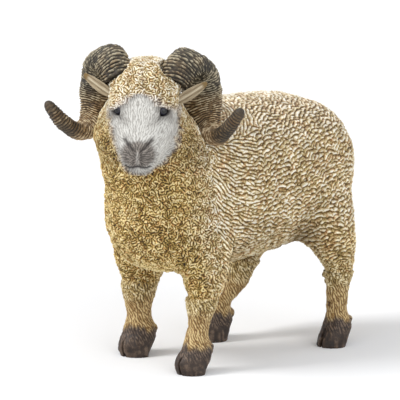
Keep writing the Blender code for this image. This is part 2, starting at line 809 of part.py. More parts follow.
def carve_face(head):
    """Eyeballs, nostrils and mouth on the melted head."""
    for side in (-1, 1):
        eye_at = Matrix.Translation(in_head(side * EYE_SIDE, EYE_FORWARD, -EYE_DROP))
        join(head, ball("eye", (EYE_DIAMETER,) * 3, eye_at))
        nostril_at = Matrix.Translation(in_head(side * NOSTRIL_SIDE, NOSTRIL_FORWARD, -NOSTRIL_DROP))
        splay = Matrix.Rotation(HEAD_TURN, 4, "Z") @ Matrix.Rotation(side * NOSTRIL_SPLAY, 4, "Y")
        size = (NOSTRIL_WIDTH, NOSTRIL_LENGTH, NOSTRIL_LENGTH)
        cut(head, ball("nostril", size, nostril_at @ splay))
    mouth_at = Matrix.Translation(in_head(0, MOUTH_FORWARD, -MOUTH_DROP)) @ Matrix.Rotation(HEAD_TURN, 4, "Z")
    cut(head, ball("mouth", (MOUTH_WIDTH, 2 * MOUTH_DEPTH, MOUTH_HEIGHT), mouth_at))
    return head


def head_piece(forms):
    """The head with its face, the sockets for horns and ears, and the neck spigot."""
    made = fused("head", forms, HEAD_CELL, HEAD_SOFTENING_COUNT, HEAD_FACETS)
    away = neck_seam_direction()
    centre = Vector((NECK_SEAM_X, NECK_SEAM_Y, NECK_SEAM_Z))
    cut(made, half_space(centre + away * SEAT_GAP / 2, -away))
    carve_face(made)
    for side in (-1, 1):
        cut(made, horn_room(side, SEAT_GAP))
        cut(made, horn_peg("peg_socket", side, SEAT_GAP))
        cut(made, ear("ear_socket", side, SEAT_GAP))
    keep_main_solid(made)
    return join(made, neck_spigot(0))


def body_piece(forms):
    """The whole wool body before it is halved, with sockets for the head and the legs."""
    made = fused("body", forms, SKIN_CELL, SKIN_SOFTENING_COUNT, BODY_FACETS)
    away = neck_seam_direction()
    centre = Vector((NECK_SEAM_X, NECK_SEAM_Y, NECK_SEAM_Z))
    cut(made, half_space(centre - away * SEAT_GAP / 2, away))
    cut(made, half_space((0, 0, LEG_SEAM_Z + SEAT_GAP / 2), (0, 0, -1)))
    cut(made, neck_spigot(SEAT_GAP))
    for leg in LEGS:
        cut(made, leg_spigot("leg_socket", leg, SEAT_GAP))
    cut(made, tail("tail_seat", SEAT_GAP))
    hollow = side_view_loft("hollow", through_rows(torso_rows(BODY_WALL), 2), HOLLOW_SIDES, TORSO_SQUARENESS)
    for side in (-1, 1):
        cut(made, horn_room(side, SEAT_GAP))
        cut(hollow, horn_room(side, SEAT_GAP + BODY_WALL))
    across = Vector((TORSO_WIDTH / 2, 0, 0))
    for place in pin_places():
        cut(hollow, rod("boss", PIN_BOSS_DIAMETER, place - across, place + across))
    return keep_main_solid(cut(made, hollow))


def pin_places():
    """The middle of each register pin, on the plane between the halves."""
    depth = BACK_HEIGHT - BELLY_HEIGHT
    return [
        Vector((0, BRISKET_Y + TORSO_LENGTH * along, BELLY_HEIGHT + depth * up)) for along, up in PIN_PLACE_SHARES
    ]


def body_half(name, whole, side):
    """One half shell. The left one carries the pins and the right one their sockets."""
    made = copy_of(whole, name)
    cut(made, half_space((side * SEAT_GAP / 2, 0, 0), (-side, 0, 0)))
    outwards = Vector((side, 0, 0))
    for place in pin_places():
        if side > 0:
            tip = place - outwards * PIN_REACH
            join(made, rod("pin", PIN_DIAMETER, place + outwards * CUTTER_OVERRUN, tip))
        else:
            deep = place + outwards * (PIN_REACH + SEAT_GAP)
            mouth = place - outwards * CUTTER_OVERRUN
            cut(made, rod("pin_socket", PIN_DIAMETER + 2 * SEAT_GAP, mouth, deep))
    return made


def stand_at_origin(pieces):
    """Moves the figure so that the middle of its box stands on the origin."""
    corners = np.array([vertex.co for piece in pieces for vertex in piece.data.vertices])
    low = corners.min(0)
    high = corners.max(0)
    shift = Vector((-(low[0] + high[0]) / 2, -(low[1] + high[1]) / 2, -low[2]))
    for piece in pieces:
        piece.location = shift


def build():
    """Makes every piece of the figure."""
    clear_scene()
    wool = material("wool", WOOL)
    head_parts = head_forms()
    body_parts = body_forms()
    whole = body_piece([*head_parts, *body_parts])
    pieces = [
        finish(body_half("body_left_shell", whole, 1), wool),
        finish(body_half("body_right_shell", whole, -1), wool),
        finish(head_piece(head_parts), material("face", FACE_WHITE)),
        finish(tail("tail", 0), wool),
    ]
    remove(whole, *head_parts, *body_parts)
    horn_look = material("horn", HORN_BROWN)
    ear_look = material("ear", EAR_CREAM)
    leg_look = material("leg", LEG_TAN)
    for side, word in ((1, "left"), (-1, "right")):
        pieces.append(finish(horn(f"{word}_horn", side), horn_look))
        pieces.append(finish(ear(f"{word}_ear", side, 0), ear_look))
    for leg in LEGS:
        pieces.append(finish(lower_leg(leg), leg_look))
    stand_at_origin(pieces)


build()
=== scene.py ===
"""Looks of the toy ram: carved wool, painted face, ringed horns, ears, tail and lower legs.

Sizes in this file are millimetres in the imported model's frame unless a name says otherwise: the nose points
towards -Y, the animal's own left is +X and the soles stand on Z = 0.
"""

from __future__ import annotations

import itertools
import logging
import math
from collections.abc import Iterable, Iterator, Sequence
from contextlib import contextmanager
from dataclasses import astuple, dataclass
from enum import Enum

import bmesh
import bpy
import numpy as np
from mathutils import Matrix, Vector
from mathutils.kdtree import KDTree


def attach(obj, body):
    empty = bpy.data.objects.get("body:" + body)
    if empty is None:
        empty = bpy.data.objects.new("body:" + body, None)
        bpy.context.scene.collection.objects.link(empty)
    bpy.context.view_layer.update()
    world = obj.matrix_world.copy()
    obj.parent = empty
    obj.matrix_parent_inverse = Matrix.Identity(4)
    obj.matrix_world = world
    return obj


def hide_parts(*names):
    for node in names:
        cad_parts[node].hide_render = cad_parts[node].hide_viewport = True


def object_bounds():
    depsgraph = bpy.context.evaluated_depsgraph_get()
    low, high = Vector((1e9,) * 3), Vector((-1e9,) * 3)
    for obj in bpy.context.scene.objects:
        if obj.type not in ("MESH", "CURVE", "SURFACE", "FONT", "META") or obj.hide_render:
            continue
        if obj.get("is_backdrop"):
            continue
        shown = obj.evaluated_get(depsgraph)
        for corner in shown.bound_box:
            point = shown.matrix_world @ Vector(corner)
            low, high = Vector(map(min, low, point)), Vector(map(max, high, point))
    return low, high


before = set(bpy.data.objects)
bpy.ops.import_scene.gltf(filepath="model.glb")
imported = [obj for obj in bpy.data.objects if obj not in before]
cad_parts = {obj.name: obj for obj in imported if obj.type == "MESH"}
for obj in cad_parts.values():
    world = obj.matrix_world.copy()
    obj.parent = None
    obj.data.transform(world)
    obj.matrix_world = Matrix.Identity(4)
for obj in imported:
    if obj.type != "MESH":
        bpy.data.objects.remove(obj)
CAD_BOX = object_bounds()

LOG = logging.getLogger("ram")
MM = 0.001
FULL_TURN = 2 * math.pi
ROOT = "root"
Array = np.ndarray
Object = bpy.types.Object
Look = bpy.types.Material
Place = tuple[float, float, float]
Line = tuple[tuple[float, float], ...]
Stops = tuple[tuple[float, str], ...]

# The figure's own middle line, the head's frame, and the height where the wool ends on the legs
MIDDLE_X = -2.287
BODY_Y = 7.208
HEAD_CENTRE = np.array([2.0 + MIDDLE_X, -32.6 + BODY_Y, 76.0])
HEAD_TURN = math.radians(41)
HEAD_MATRIX = Matrix.Rotation(HEAD_TURN, 3, "Z")
WOOL_END_Z = 20.0
WELD = 0.002
# Places of the stops on the ramps for washed and brushed wool
WASHED = (0.0, 0.22, 0.45, 0.7, 0.95)


# --- Small helpers ---


def linear(code: str) -> tuple[float, float, float, float]:
    """Turns an sRGB hex colour into the linear values that a shader takes.

    Args:
        code: The colour, such as "#E8DCC0".

    Returns:
        Red, green, blue and an alpha of 1.
    """
    channels = [int(code.lstrip("#")[at : at + 2], 16) / 255 for at in (0, 2, 4)]
    red, green, blue = (c / 12.92 if c <= 0.04045 else ((c + 0.055) / 1.055) ** 2.4 for c in channels)
    return red, green, blue, 1.0


def spaced(places: Sequence[float], *codes: str) -> Stops:
    """Pairs the places of a ramp's stops with their hex colours."""
    return tuple(zip(places, codes, strict=True))


def add_node(
    tree: bpy.types.NodeTree, kind: str, inputs: dict | None = None, stops: Stops = (), **settings: object
) -> bpy.types.Node:
    """Adds a shader node with its settings, values and links.

    Args:
        tree: The material's node tree.
        kind: Blender's name for the node.
        inputs: Socket name or number to a value, or to the output socket that feeds it.
        stops: Place and hex colour of each stop, for a colour ramp.
        **settings: The node's own settings.

    Returns:
        The new node.
    """
    node = tree.nodes.new(kind)
    for name, value in settings.items():
        setattr(node, name, value)
    for key, value in (inputs or {}).items():
        if isinstance(value, bpy.types.NodeSocket):
            tree.links.new(value, node.inputs[key])
        else:
            node.inputs[key].default_value = value
    for index, (place, code) in enumerate(stops):
        ramp = node.color_ramp.elements
        stop = ramp[index] if index < len(ramp) else ramp.new(place)
        stop.position = place
        stop.color = linear(code)
    return node


def smooth_step(value: Array, low: float, high: float) -> Array:
    """Rises smoothly from 0 at low to 1 at high, or falls where low is above high."""
    share = np.clip((value - low) / (high - low), 0, 1)
    return share * share * (3 - 2 * share)


def hump(value: Array, width: Array | float) -> Array:
    """Gives 1 where the value is 0 and falls off on both sides of it."""
    return np.exp(-((value / width) ** 2))


def unit(vectors: Array) -> Array:
    """Scales each row to a length of 1."""
    return vectors / np.maximum(np.linalg.norm(vectors, axis=-1, keepdims=True), 1e-9)


def falling(normals: Array, fall: Place) -> Array:
    """Lays a direction flat onto the surface at each normal."""
    way = np.array(fall)
    return unit(way - (normals @ way)[:, None] * normals)


def lattice_random(cells: Array, seed: int) -> Array:
    """Gives each whole-number cell its own number between 0 and 1.

    Args:
        cells: Whole numbers, three to a row.
        seed: Picks another set of numbers.

    Returns:
        One number for each row.
    """
    first, second, third = np.moveaxis(cells, -1, 0)
    mixed = first * 73856093 ^ second * 19349663 ^ third * 83492791 ^ seed * 668265263
    mixed = (mixed ^ (mixed >> 13)) * 1274126177
    return ((mixed ^ (mixed >> 16)) & 0xFFFFFF) / 0xFFFFFF


def soft_noise(points: Array, size: float, seed: int) -> Array:
    """Smooth random hills and hollows in space.

    Args:
        points: Where it is wanted, one row each.
        size: How far apart the hills are.
        seed: Picks another set of hills.

    Returns:
        Values from -1 to 1.
    """
    scaled = points / size
    base = np.floor(scaled)
    share = scaled - base
    share = share * share * (3 - 2 * share)
    cells = base.astype(np.int64)
    total = np.zeros(len(points))
    for corner in itertools.product((0, 1), repeat=3):
        weight = np.prod(np.where(np.array(corner) == 1, share, 1 - share), axis=1)
        total += weight * lattice_random(cells + np.array(corner), seed)
    return 2 * total - 1


def to_head(points: Array) -> Array:
    """Turns points of the figure into the head's own frame.

    Args:
        points: Rows of x, y and z.

    Returns:
        Rows of side (to the animal's left), forward and up.
    """
    moved = points - HEAD_CENTRE
    cosine, sine = math.cos(HEAD_TURN), math.sin(HEAD_TURN)
    side = moved[:, 0] * cosine + moved[:, 1] * sine
    forward = moved[:, 0] * sine - moved[:, 1] * cosine
    return np.column_stack([side, forward, moved[:, 2]])


def from_head(points: Array) -> Array:
    """Places points of the head, given as side, back and up, on the figure."""
    return points @ np.array(HEAD_MATRIX).T + HEAD_CENTRE


def drawn(points: Array, corners: Line, width: Array | float) -> Array:
    """Draws a line of straight stretches with soft edges.

    Args:
        points: Where it is wanted, one row each.
        corners: The line's corners.
        width: How far it reaches to both sides.

    Returns:
        1 on the line, falling off beside it.
    """
    nearest = np.full(len(points), np.inf)
    for start, end in itertools.pairwise(np.array(corners, float)):
        along = end - start
        share = np.clip((points - start) @ along / (along @ along), 0, 1)
        gap = np.linalg.norm(points - start - share[:, None] * along, axis=1)
        nearest = np.minimum(nearest, gap)
    return hump(nearest, width)


# --- Mesh work shared by the pieces ---


class Skin:
    """A mesh whose points are worked on as arrays, in millimetres."""

    def __init__(self, obj: Object) -> None:
        """Reads an object's points and normals."""
        self.mesh = obj.data
        self.read()

    def taken(self, name: str) -> Array:
        """Takes three values for each point from the mesh.

        Args:
            name: Blender's name for them.

        Returns:
            A row for each point.
        """
        values = np.zeros(len(self.mesh.vertices) * 3, np.float32)
        self.mesh.vertices.foreach_get(name, values)
        return values.reshape(-1, 3).astype(float)

    def read(self) -> None:
        """Takes the points and normals from the mesh."""
        self.points = self.taken("co") / MM
        self.normals = unit(self.taken("normal"))

    def write(self) -> None:
        """Puts the points back into the mesh."""
        self.mesh.vertices.foreach_set("co", (self.points * MM).astype(np.float32).ravel())
        self.mesh.update()
        self.read()

    def push(self, height: Array) -> None:
        """Moves each point along its normal."""
        self.points = self.points + self.normals * height[:, None]
        self.write()

    def paint(self, **layers: Array) -> None:
        """Keeps values for each point under the names that a material reads.

        Args:
            **layers: One value or a row of three for each point.
        """
        for name, values in layers.items():
            kind, word = ("FLOAT", "value") if values.ndim == 1 else ("FLOAT_VECTOR", "vector")
            layer = self.mesh.attributes.new(name, kind, "POINT")
            layer.data.foreach_set(word, values.astype(np.float32).ravel())


def new_object(name: str, data: bpy.types.ID) -> Object:
    """Links a mesh, lamp or camera to the scene.

    Args:
        name: The object's name.
        data: What it shows.

    Returns:
        The new object.
    """
    made = bpy.data.objects.new(name, data)
    bpy.context.scene.collection.objects.link(made)
    return made


@contextmanager
def edited(mesh: bpy.types.Mesh) -> Iterator[bmesh.types.BMesh]:
    """Opens a mesh for work on its faces and stores the result in it.

    Args:
        mesh: The mesh.

    Yields:
        Its editable form.
    """
    shape = bmesh.new()
    shape.from_mesh(mesh)
    yield shape
    shape.to_mesh(mesh)
    shape.free()


def welded_copy(name: str, nodes: Iterable[str], swell: float = 0.0) -> Object:
    """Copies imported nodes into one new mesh, welded along their shading seams.

    Args:
        name: The new object's name.
        nodes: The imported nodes.
        swell: How far each point moves outwards.

    Returns:
        The new object.
    """
    whole = bpy.data.meshes.new(name)
    with edited(whole) as shape:
        for node in nodes:
            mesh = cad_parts[node].data.copy()
            with edited(mesh) as part:
                bmesh.ops.remove_doubles(part, verts=part.verts, dist=WELD * MM)
                part.normal_update()
                for vertex in part.verts:
                    vertex.co += vertex.normal * swell * MM
            shape.from_mesh(mesh)
            bpy.data.meshes.remove(mesh)
    return new_object(name, whole)


def remesh(obj: Object, cell: float, rounds: int) -> None:
    """Rebuilds a mesh from even cells and softens it.

    Args:
        obj: The object.
        cell: The size of a cell.
        rounds: How often it is softened.
    """
    step = obj.modifiers.new("cells", "REMESH")
    step.mode = "VOXEL"
    step.voxel_size = cell * MM
    soften = obj.modifiers.new("soften", "SMOOTH")
    soften.factor = 0.5
    soften.iterations = rounds
    bpy.context.view_layer.update()
    graph = bpy.context.evaluated_depsgraph_get()
    mesh = bpy.data.meshes.new_from_object(obj.evaluated_get(graph))
    obj.modifiers.clear()
    obj.data = mesh


def keep_outer(obj: Object) -> None:
    """Keeps the island of the mesh that has the most points and drops the rest."""
    with edited(obj.data) as shape:
        left = set(shape.verts)
        islands = []
        while left:
            island, stack = [], [left.pop()]
            while stack:
                vertex = stack.pop()
                island.append(vertex)
                near = {edge.other_vert(vertex) for edge in vertex.link_edges} & left
                left -= near
                stack.extend(near)
            islands.append(island)
        islands.sort(key=len)
        bmesh.ops.delete(shape, geom=list(itertools.chain(*islands[:-1])), context="VERTS")


def cut_off(obj: Object, point: Sequence[float], away: Sequence[float]) -> None:
    """Cuts a closed mesh with a plane, drops the far side and closes the cut.

    Args:
        obj: The object.
        point: A point of the plane.
        away: The direction of the side that goes.
    """
    with edited(obj.data) as shape:
        everything = [*shape.verts, *shape.edges, *shape.faces]
        plane = {"plane_co": Vector(point) * MM, "plane_no": Vector(away)}
        made = bmesh.ops.bisect_plane(shape, geom=everything, clear_outer=True, **plane)
        rim = [item for item in made["geom_cut"] if isinstance(item, bmesh.types.BMEdge)]
        bmesh.ops.triangle_fill(shape, use_beauty=False, edges=rim)
        bmesh.ops.recalc_face_normals(shape, faces=shape.faces)


def rings_to_mesh(name: str, rings: Iterable[Iterable[Sequence[float]]]) -> Object:
    """Closes rings of equally many points into one solid.

    Args:
        name: The object's name.
        rings: Rings of points in millimetres.

    Returns:
        The new object.
    """
    mesh = bpy.data.meshes.new(name)
    with edited(mesh) as shape:
        loops = [[shape.verts.new(Vector(point) * MM) for point in ring] for ring in rings]
        for near, far in itertools.pairwise(loops):
            for side in range(len(near)):
                after = (side + 1) % len(near)
                shape.faces.new((near[side], near[after], far[after], far[side]))
        for end in (loops[0], loops[-1]):
            middle = shape.verts.new(sum((vertex.co for vertex in end), Vector()) / len(end))
            for side in range(len(end)):
                shape.faces.new((end[side], end[(side + 1) % len(end)], middle))
        bmesh.ops.recalc_face_normals(shape, faces=shape.faces)
    return new_object(name, mesh)


def dress(obj: Object, look: Look, slot: str, *stands_for: str) -> None:
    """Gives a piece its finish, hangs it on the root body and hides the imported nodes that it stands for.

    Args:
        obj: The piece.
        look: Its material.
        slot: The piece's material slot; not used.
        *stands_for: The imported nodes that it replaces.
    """
    obj.data.materials.clear()
    obj.data.materials.append(look)
    obj.data.shade_smooth()
    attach(obj, ROOT)
    if stands_for:
        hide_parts(*stands_for)
    LOG.info("%s: %d faces", obj.name, len(obj.data.polygons))


# --- Carved locks of wool and strands of hair ---


@dataclass(frozen=True)
class Lock:
    """One kind of carved lock: raised ridges side by side over a small patch of the surface.

    The pitch runs from ridge to ridge, the spread is the reach of a patch and the spacing keeps patches
    apart. The bend is the curvature of the ridges. An overhang of 1 drops steeply below each crest, like a
    shingle, and 0 makes the ridge even.
    """

    pitch: float
    spread: float
    spacing: float
    bend: float
    height: float
    overhang: float


class Carving(Enum):
    """The kinds of lock, strand and ring that the sculptor carved."""

    CRIMP = Lock(1.20, 0.98, 1.65, 0.28, 0.50, 1.0)
    SWEEP = Lock(0.96, 0.80, 1.20, 0.08, 0.38, 0.7)
    CURL = Lock(0.72, 0.40, 0.60, 0.50, 0.47, 0.5)
    STRAND = Lock(0.98, 1.40, 1.50, 0.03, 0.32, 0.5)
    HAIR = Lock(0.66, 0.62, 0.80, 0.10, 0.20, 0.4)
    FUR = Lock(0.62, 0.42, 0.58, 0.20, 0.07, 0.3)
    RING = Lock(0.90, 1.90, 2.20, 0.00, 0.50, 0.5)

    @property
    def number(self) -> int:
        """Its place among the kinds."""
        return list(Carving).index(self)


class Chisel:
    """Scatters locks over a surface and gives their relief at its points.

    A lock turns at random by TURN radians, and by a share of that where its ridges follow a drawn rhythm.
    The crest of a shingle stands at DROP of the way from one crevice to the next. Ridges are FIRM where
    the locks around agree, and a SEAM opens where two of them weigh the same. WEAR gives the size, the
    share and the seed of each layer of uneven depth.
    """

    MOST_TRIED = 140_000
    NEIGHBOURS = 8
    BLOCK = 50_000
    TURN = 0.18
    DRAWN_TURN = 0.3
    DRAWN_PHASE = 0.8
    WIDTH_SHARE = 0.45
    DROP = 0.8
    FIRM = (0.02, 0.28)
    SEAM = (0.55, 1.0)
    SEAM_DEPTH = 0.45
    WEAR = ((0.6, 0.55, 14), (1.7, 0.15, 15))

    def __init__(self, seed: int) -> None:
        """Starts its own row of random numbers."""
        self.random = np.random.default_rng(seed)
        self.table = np.array([astuple(kind.value) for kind in Carving])

    @staticmethod
    def tree_of(points: Array) -> KDTree:
        """Sorts points for quick searches by place.

        Args:
            points: One row each.

        Returns:
            The sorted points.
        """
        tree = KDTree(len(points))
        for index, point in enumerate(points):
            tree.insert(point, index)
        tree.balance()
        return tree

    def places(self, skin: Skin, kinds: Array) -> Array:
        """Picks the middles of the locks, so that no two lie on each other.

        Args:
            skin: The surface.
            kinds: The number of the kind of lock at each point, or -1 for none.

        Returns:
            The numbers of the picked points.
        """
        tried = self.random.permutation(np.flatnonzero(kinds >= 0))[: self.MOST_TRIED]
        tree = self.tree_of(skin.points[tried])
        spacing = self.table[kinds[tried], 2]
        taken = np.zeros(len(tried), bool)
        chosen = []
        for index, point in enumerate(skin.points[tried]):
            if not taken[index]:
                chosen.append(tried[index])
                taken[[hit[1] for hit in tree.find_range(point, spacing[index])]] = True
        return np.array(chosen)

    def carve(
        self, skin: Skin, kinds: Array, along: Array, down: Array, steps: tuple[Array, Array] | None = None
    ) -> None:
        """Places every lock that fits on the surface.

        Args:
            skin: The surface.
            kinds: The number of the kind of lock at each point, or -1 for none.
            along: The direction of a ridge at each point.
            down: The direction across the ridges at each point, towards their steep side.
            steps: The pitch and the phase at each point, where the ridges follow a drawn rhythm.
        """
        chosen = self.places(skin, kinds)
        count = len(chosen)
        pitch, spread, _, bend, height, overhang = self.table[kinds[chosen]].T
        turn = self.random.normal(0, self.TURN, (count, 1))
        phase = self.random.uniform(0, FULL_TURN, count)
        if steps is not None:
            pitch = steps[0][chosen]
            phase = steps[1][chosen] + self.random.normal(0, self.DRAWN_PHASE, count)
            turn = turn * self.DRAWN_TURN
        else:
            pitch = pitch * self.random.uniform(0.86, 1.16, count)
        ridge = along[chosen] * np.cos(turn) + down[chosen] * np.sin(turn)
        fall = down[chosen] * np.cos(turn) - along[chosen] * np.sin(turn)
        bend = bend * self.random.uniform(0.5, 1.5, count)
        height = height * self.random.uniform(0.8, 1.2, count)
        level, tone = self.random.uniform(-0.07, 0.07, count), self.random.random(count)
        values = (pitch, spread, bend, height, overhang, phase, level, tone)
        self.locks = np.column_stack([skin.points[chosen], ridge, fall, *values])

    def relief(self, points: Array, wander: float = 0.15) -> dict[str, Array]:
        """The carving at points of the surface.

        Where locks meet, the waves of their ridges add up, so that the ridges join, fork and end as they do
        under a sculptor's tool.

        Args:
            points: The points.
            wander: How far the ridges stray from their drawn line.

        Returns:
            "height" in millimetres, "crest" from 0 in a crevice to 1 on a ridge, and the locks' "tone".
        """
        tree = self.tree_of(self.locks[:, :3])
        stray = np.column_stack([soft_noise(points, 1.1, seed) for seed in (11, 12, 13)]) * wander
        parts = []
        for block in np.array_split(points + stray, max(len(points) // self.BLOCK, 1)):
            near = np.array([[hit[1] for hit in tree.find_n(point, self.NEIGHBOURS)] for point in block])
            lock = self.locks[near]
            offset = block[:, None, :] - lock[:, :, :3]
            across = np.einsum("ijk,ijk->ij", offset, lock[:, :, 3:6])
            fall = np.einsum("ijk,ijk->ij", offset, lock[:, :, 6:9])
            pitch, spread, bend, height, overhang, phase, level, tone = np.moveaxis(lock[:, :, 9:], -1, 0)
            # a lock is wider than it is tall
            gap = (offset**2).sum(2) - self.WIDTH_SHARE * across**2
            weight = np.exp(-gap / spread**2) + 1e-9
            total = weight.sum(1)
            first, second = np.sort(weight, axis=1)[:, :-3:-1].T
            seam = smooth_step(second / first, *self.SEAM)
            # the waves of the locks nearby, summed: firm where they agree, flat where they cancel out
            angle = FULL_TURN * (fall - bend * across**2) / pitch + phase
            wave = (weight * np.exp(1j * angle)).sum(1)
            firm = smooth_step(np.abs(wave) / total, *self.FIRM)
            turn = np.angle(wave) / FULL_TURN % 1
            over = (weight * overhang).sum(1) / total
            even = 1 - (0.5 + 0.5 * np.cos(FULL_TURN * turn)) ** 1.7
            rise, fall = (turn / self.DROP) ** 0.75, (1 - turn) / 0.2
            shingle = np.where(turn < self.DROP, rise, fall)
            crest = 0.5 + firm * (even + over * (shingle - even) - 0.5)
            crest = crest * (1 - self.SEAM_DEPTH * over * seam)
            high = crest * (weight * height).sum(1) / total + (weight * level).sum(1) / total
            parts.append(np.column_stack([high, crest, (weight * tone).sum(1) / total]))
        height, crest, tone = np.vstack(parts).T
        worn = np.ones(len(points))
        for size, share, seed in self.WEAR:
            worn = worn + share * soft_noise(points, size, seed)
        worn = np.clip(worn, 0.25, 1.6)
        return {"height": height * worn, "crest": crest * worn, "tone": tone}


@dataclass(frozen=True)
class Swelling:
    """A place where the sculptor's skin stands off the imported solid, outwards or, below zero, inwards."""

    place: Place
    reach: float
    height: float


SWELLINGS = (
    # rump and tail head
    Swelling((8.5, 35.9, 59.0), 8.0, 0.8),
    Swelling((4.6, 34.5, 64.0), 7.0, 0.4),
    Swelling((9.3, 39.6, 51.0), 6.0, 0.3),
    # the left thigh's front edge and the shank under it
    Swelling((8.9, 26.6, 23.5), 6.0, -1.8),
    Swelling((9.2, 27.8, 18.0), 3.0, -0.5),
    Swelling((9.9, 29.7, 11.5), 5.0, -0.5),
    Swelling((9.5, 28.9, 5.0), 3.5, -0.7),
    Swelling((12.1, 35.3, 13.4), 4.0, 0.6),
    # the right hock and the groin above it
    Swelling((-12.9, 19.5, 10.5), 4.0, 1.2),
    Swelling((-12.6, 21.5, 15.0), 3.5, 1.2),
    Swelling((-11.7, 26.8, 25.0), 4.0, -1.0),
    # the right foreleg's outer side
    Swelling((-18.3, -18.1, 28.0), 7.0, 1.8),
    Swelling((-18.2, -16.5, 16.3), 5.0, 0.6),
    Swelling((-17.7, -15.9, 8.4), 4.0, 0.7),
    # the left foreleg's inner side, the neck and the brisket
    Swelling((9.7, -19.7, 14.3), 4.0, -0.5),
    Swelling((7.7, -18.4, 22.0), 4.0, -0.3),
    Swelling((-13.5, -28.3, 47.9), 6.0, -0.6),
    Swelling((-2.1, -16.0, 24.7), 5.5, -2.2),
)


def swollen(points: Array) -> Array:
    """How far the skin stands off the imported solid.

    Args:
        points: Points of the figure.

    Returns:
        Millimetres along the normal of each point.
    """
    height = np.zeros(len(points))
    for spot in SWELLINGS:
        height += spot.height * hump(np.linalg.norm(points - np.array(spot.place), axis=1), spot.reach)
    return height


# --- Finishes ---

Socket = bpy.types.NodeSocket
Painted = tuple[Socket, Socket]


class Brush:
    """Adds the nodes that the finishes are made of to one node tree."""

    def __init__(self, tree: bpy.types.NodeTree) -> None:
        """Empties the tree."""
        self.tree = tree
        tree.nodes.clear()

    def add(
        self, kind: str, inputs: dict | None = None, output: int | str = 0, **settings: object
    ) -> Socket:
        """Adds a node and gives one of its outputs."""
        return add_node(self.tree, kind, inputs, **settings).outputs[output]

    def value(self, name: str) -> Socket:
        """Reads a value that was kept with the mesh's points."""
        return self.add("ShaderNodeAttribute", output="Fac", attribute_name=name)

    def grain(self, size_mm: float, detail: float = 3.0, seed: float = 0.0) -> Socket:
        """Even noise in the object's own space.

        Args:
            size_mm: The real size of its grains.
            detail: How many finer layers it has.
            seed: Picks another pattern.

        Returns:
            Values from 0 to 1.
        """
        place = self.add("ShaderNodeTexCoord", output="Object")
        spec = {"Vector": place, "W": seed, "Scale": 1 / (size_mm * MM), "Detail": detail, "Roughness": 0.6}
        return self.add("ShaderNodeTexNoise", spec, noise_dimensions="4D")

    def shaken(self, noise: Socket, strength: float) -> Socket:
        """The relief from crevice to crest, worn unevenly.

        Args:
            noise: What wears it.
            strength: How much.

        Returns:
            Values from about 0 to 1.
        """
        even = self.add("ShaderNodeMath", {0: noise, 1: 0.5}, operation="SUBTRACT")
        spec = {0: even, 1: strength, 2: self.value("relief")}
        return self.add("ShaderNodeMath", spec, operation="MULTIPLY_ADD")

    def ramps(self, value: Socket, *tables: Stops) -> list[Socket]:
        """Turns a value into the colours of each table of stops."""
        return [self.add("ShaderNodeValToRGB", {0: value}, stops=stops) for stops in tables]

    def mixed(
        self, share: Socket | float | str, first: Socket | str, second: Socket | str, way: str = "MIX"
    ) -> Socket:
        """Lays the second colour over the first.

        Args:
            share: Where it shows: a value, or the name of one that was kept with the mesh's points.
            first: A colour, or its hex code.
            second: Another.
            way: Blender's name for the way of mixing.

        Returns:
            The mixed colour.
        """
        spec = {0: self.value(share) if isinstance(share, str) else share}
        spec |= {6 + at: linear(c) if isinstance(c, str) else c for at, c in enumerate((first, second))}
        return self.add("ShaderNodeMix", spec, 2, data_type="RGBA", blend_type=way)

    def ranged(self, value: Socket, source: tuple[float, float], target: tuple[float, float]) -> Socket:
        """Stretches a value from one range to another."""
        return self.add("ShaderNodeMapRange", dict(enumerate((value, *source, *target))))


@dataclass(frozen=True)
class Finish:
    """A painted surface of the figure."""

    name: str
    roughness: float
    ior: float = 1.53
    bump_mm: float = 0.06

    def make(self) -> Look:
        """Builds the material.

        Returns:
            The material, with its colour and fine relief made of nodes.
        """
        look = bpy.data.materials.new(self.name)
        look.use_nodes = True
        brush = Brush(look.node_tree)
        add_node(brush.tree, "ShaderNodeOutputMaterial", {"Surface": self.surface(brush)})
        return look

    def surface(self, brush: Brush) -> Socket:
        """Joins colour and fine relief in one shader.

        Args:
            brush: Works on the material.

        Returns:
            The shader.
        """
        colour, height = self.paint(brush)
        relief = {"Strength": 1.0, "Distance": self.bump_mm * MM, "Height": height}
        spec = {"Base Color": colour, "Roughness": self.roughness, "IOR": self.ior, "Metallic": 0.0}
        return brush.add("ShaderNodeBsdfPrincipled", spec | {"Normal": brush.add("ShaderNodeBump", relief)})

    def paint(self, brush: Brush) -> Painted:
        """Gives the colour and the height of the fine relief."""
        raise NotImplementedError


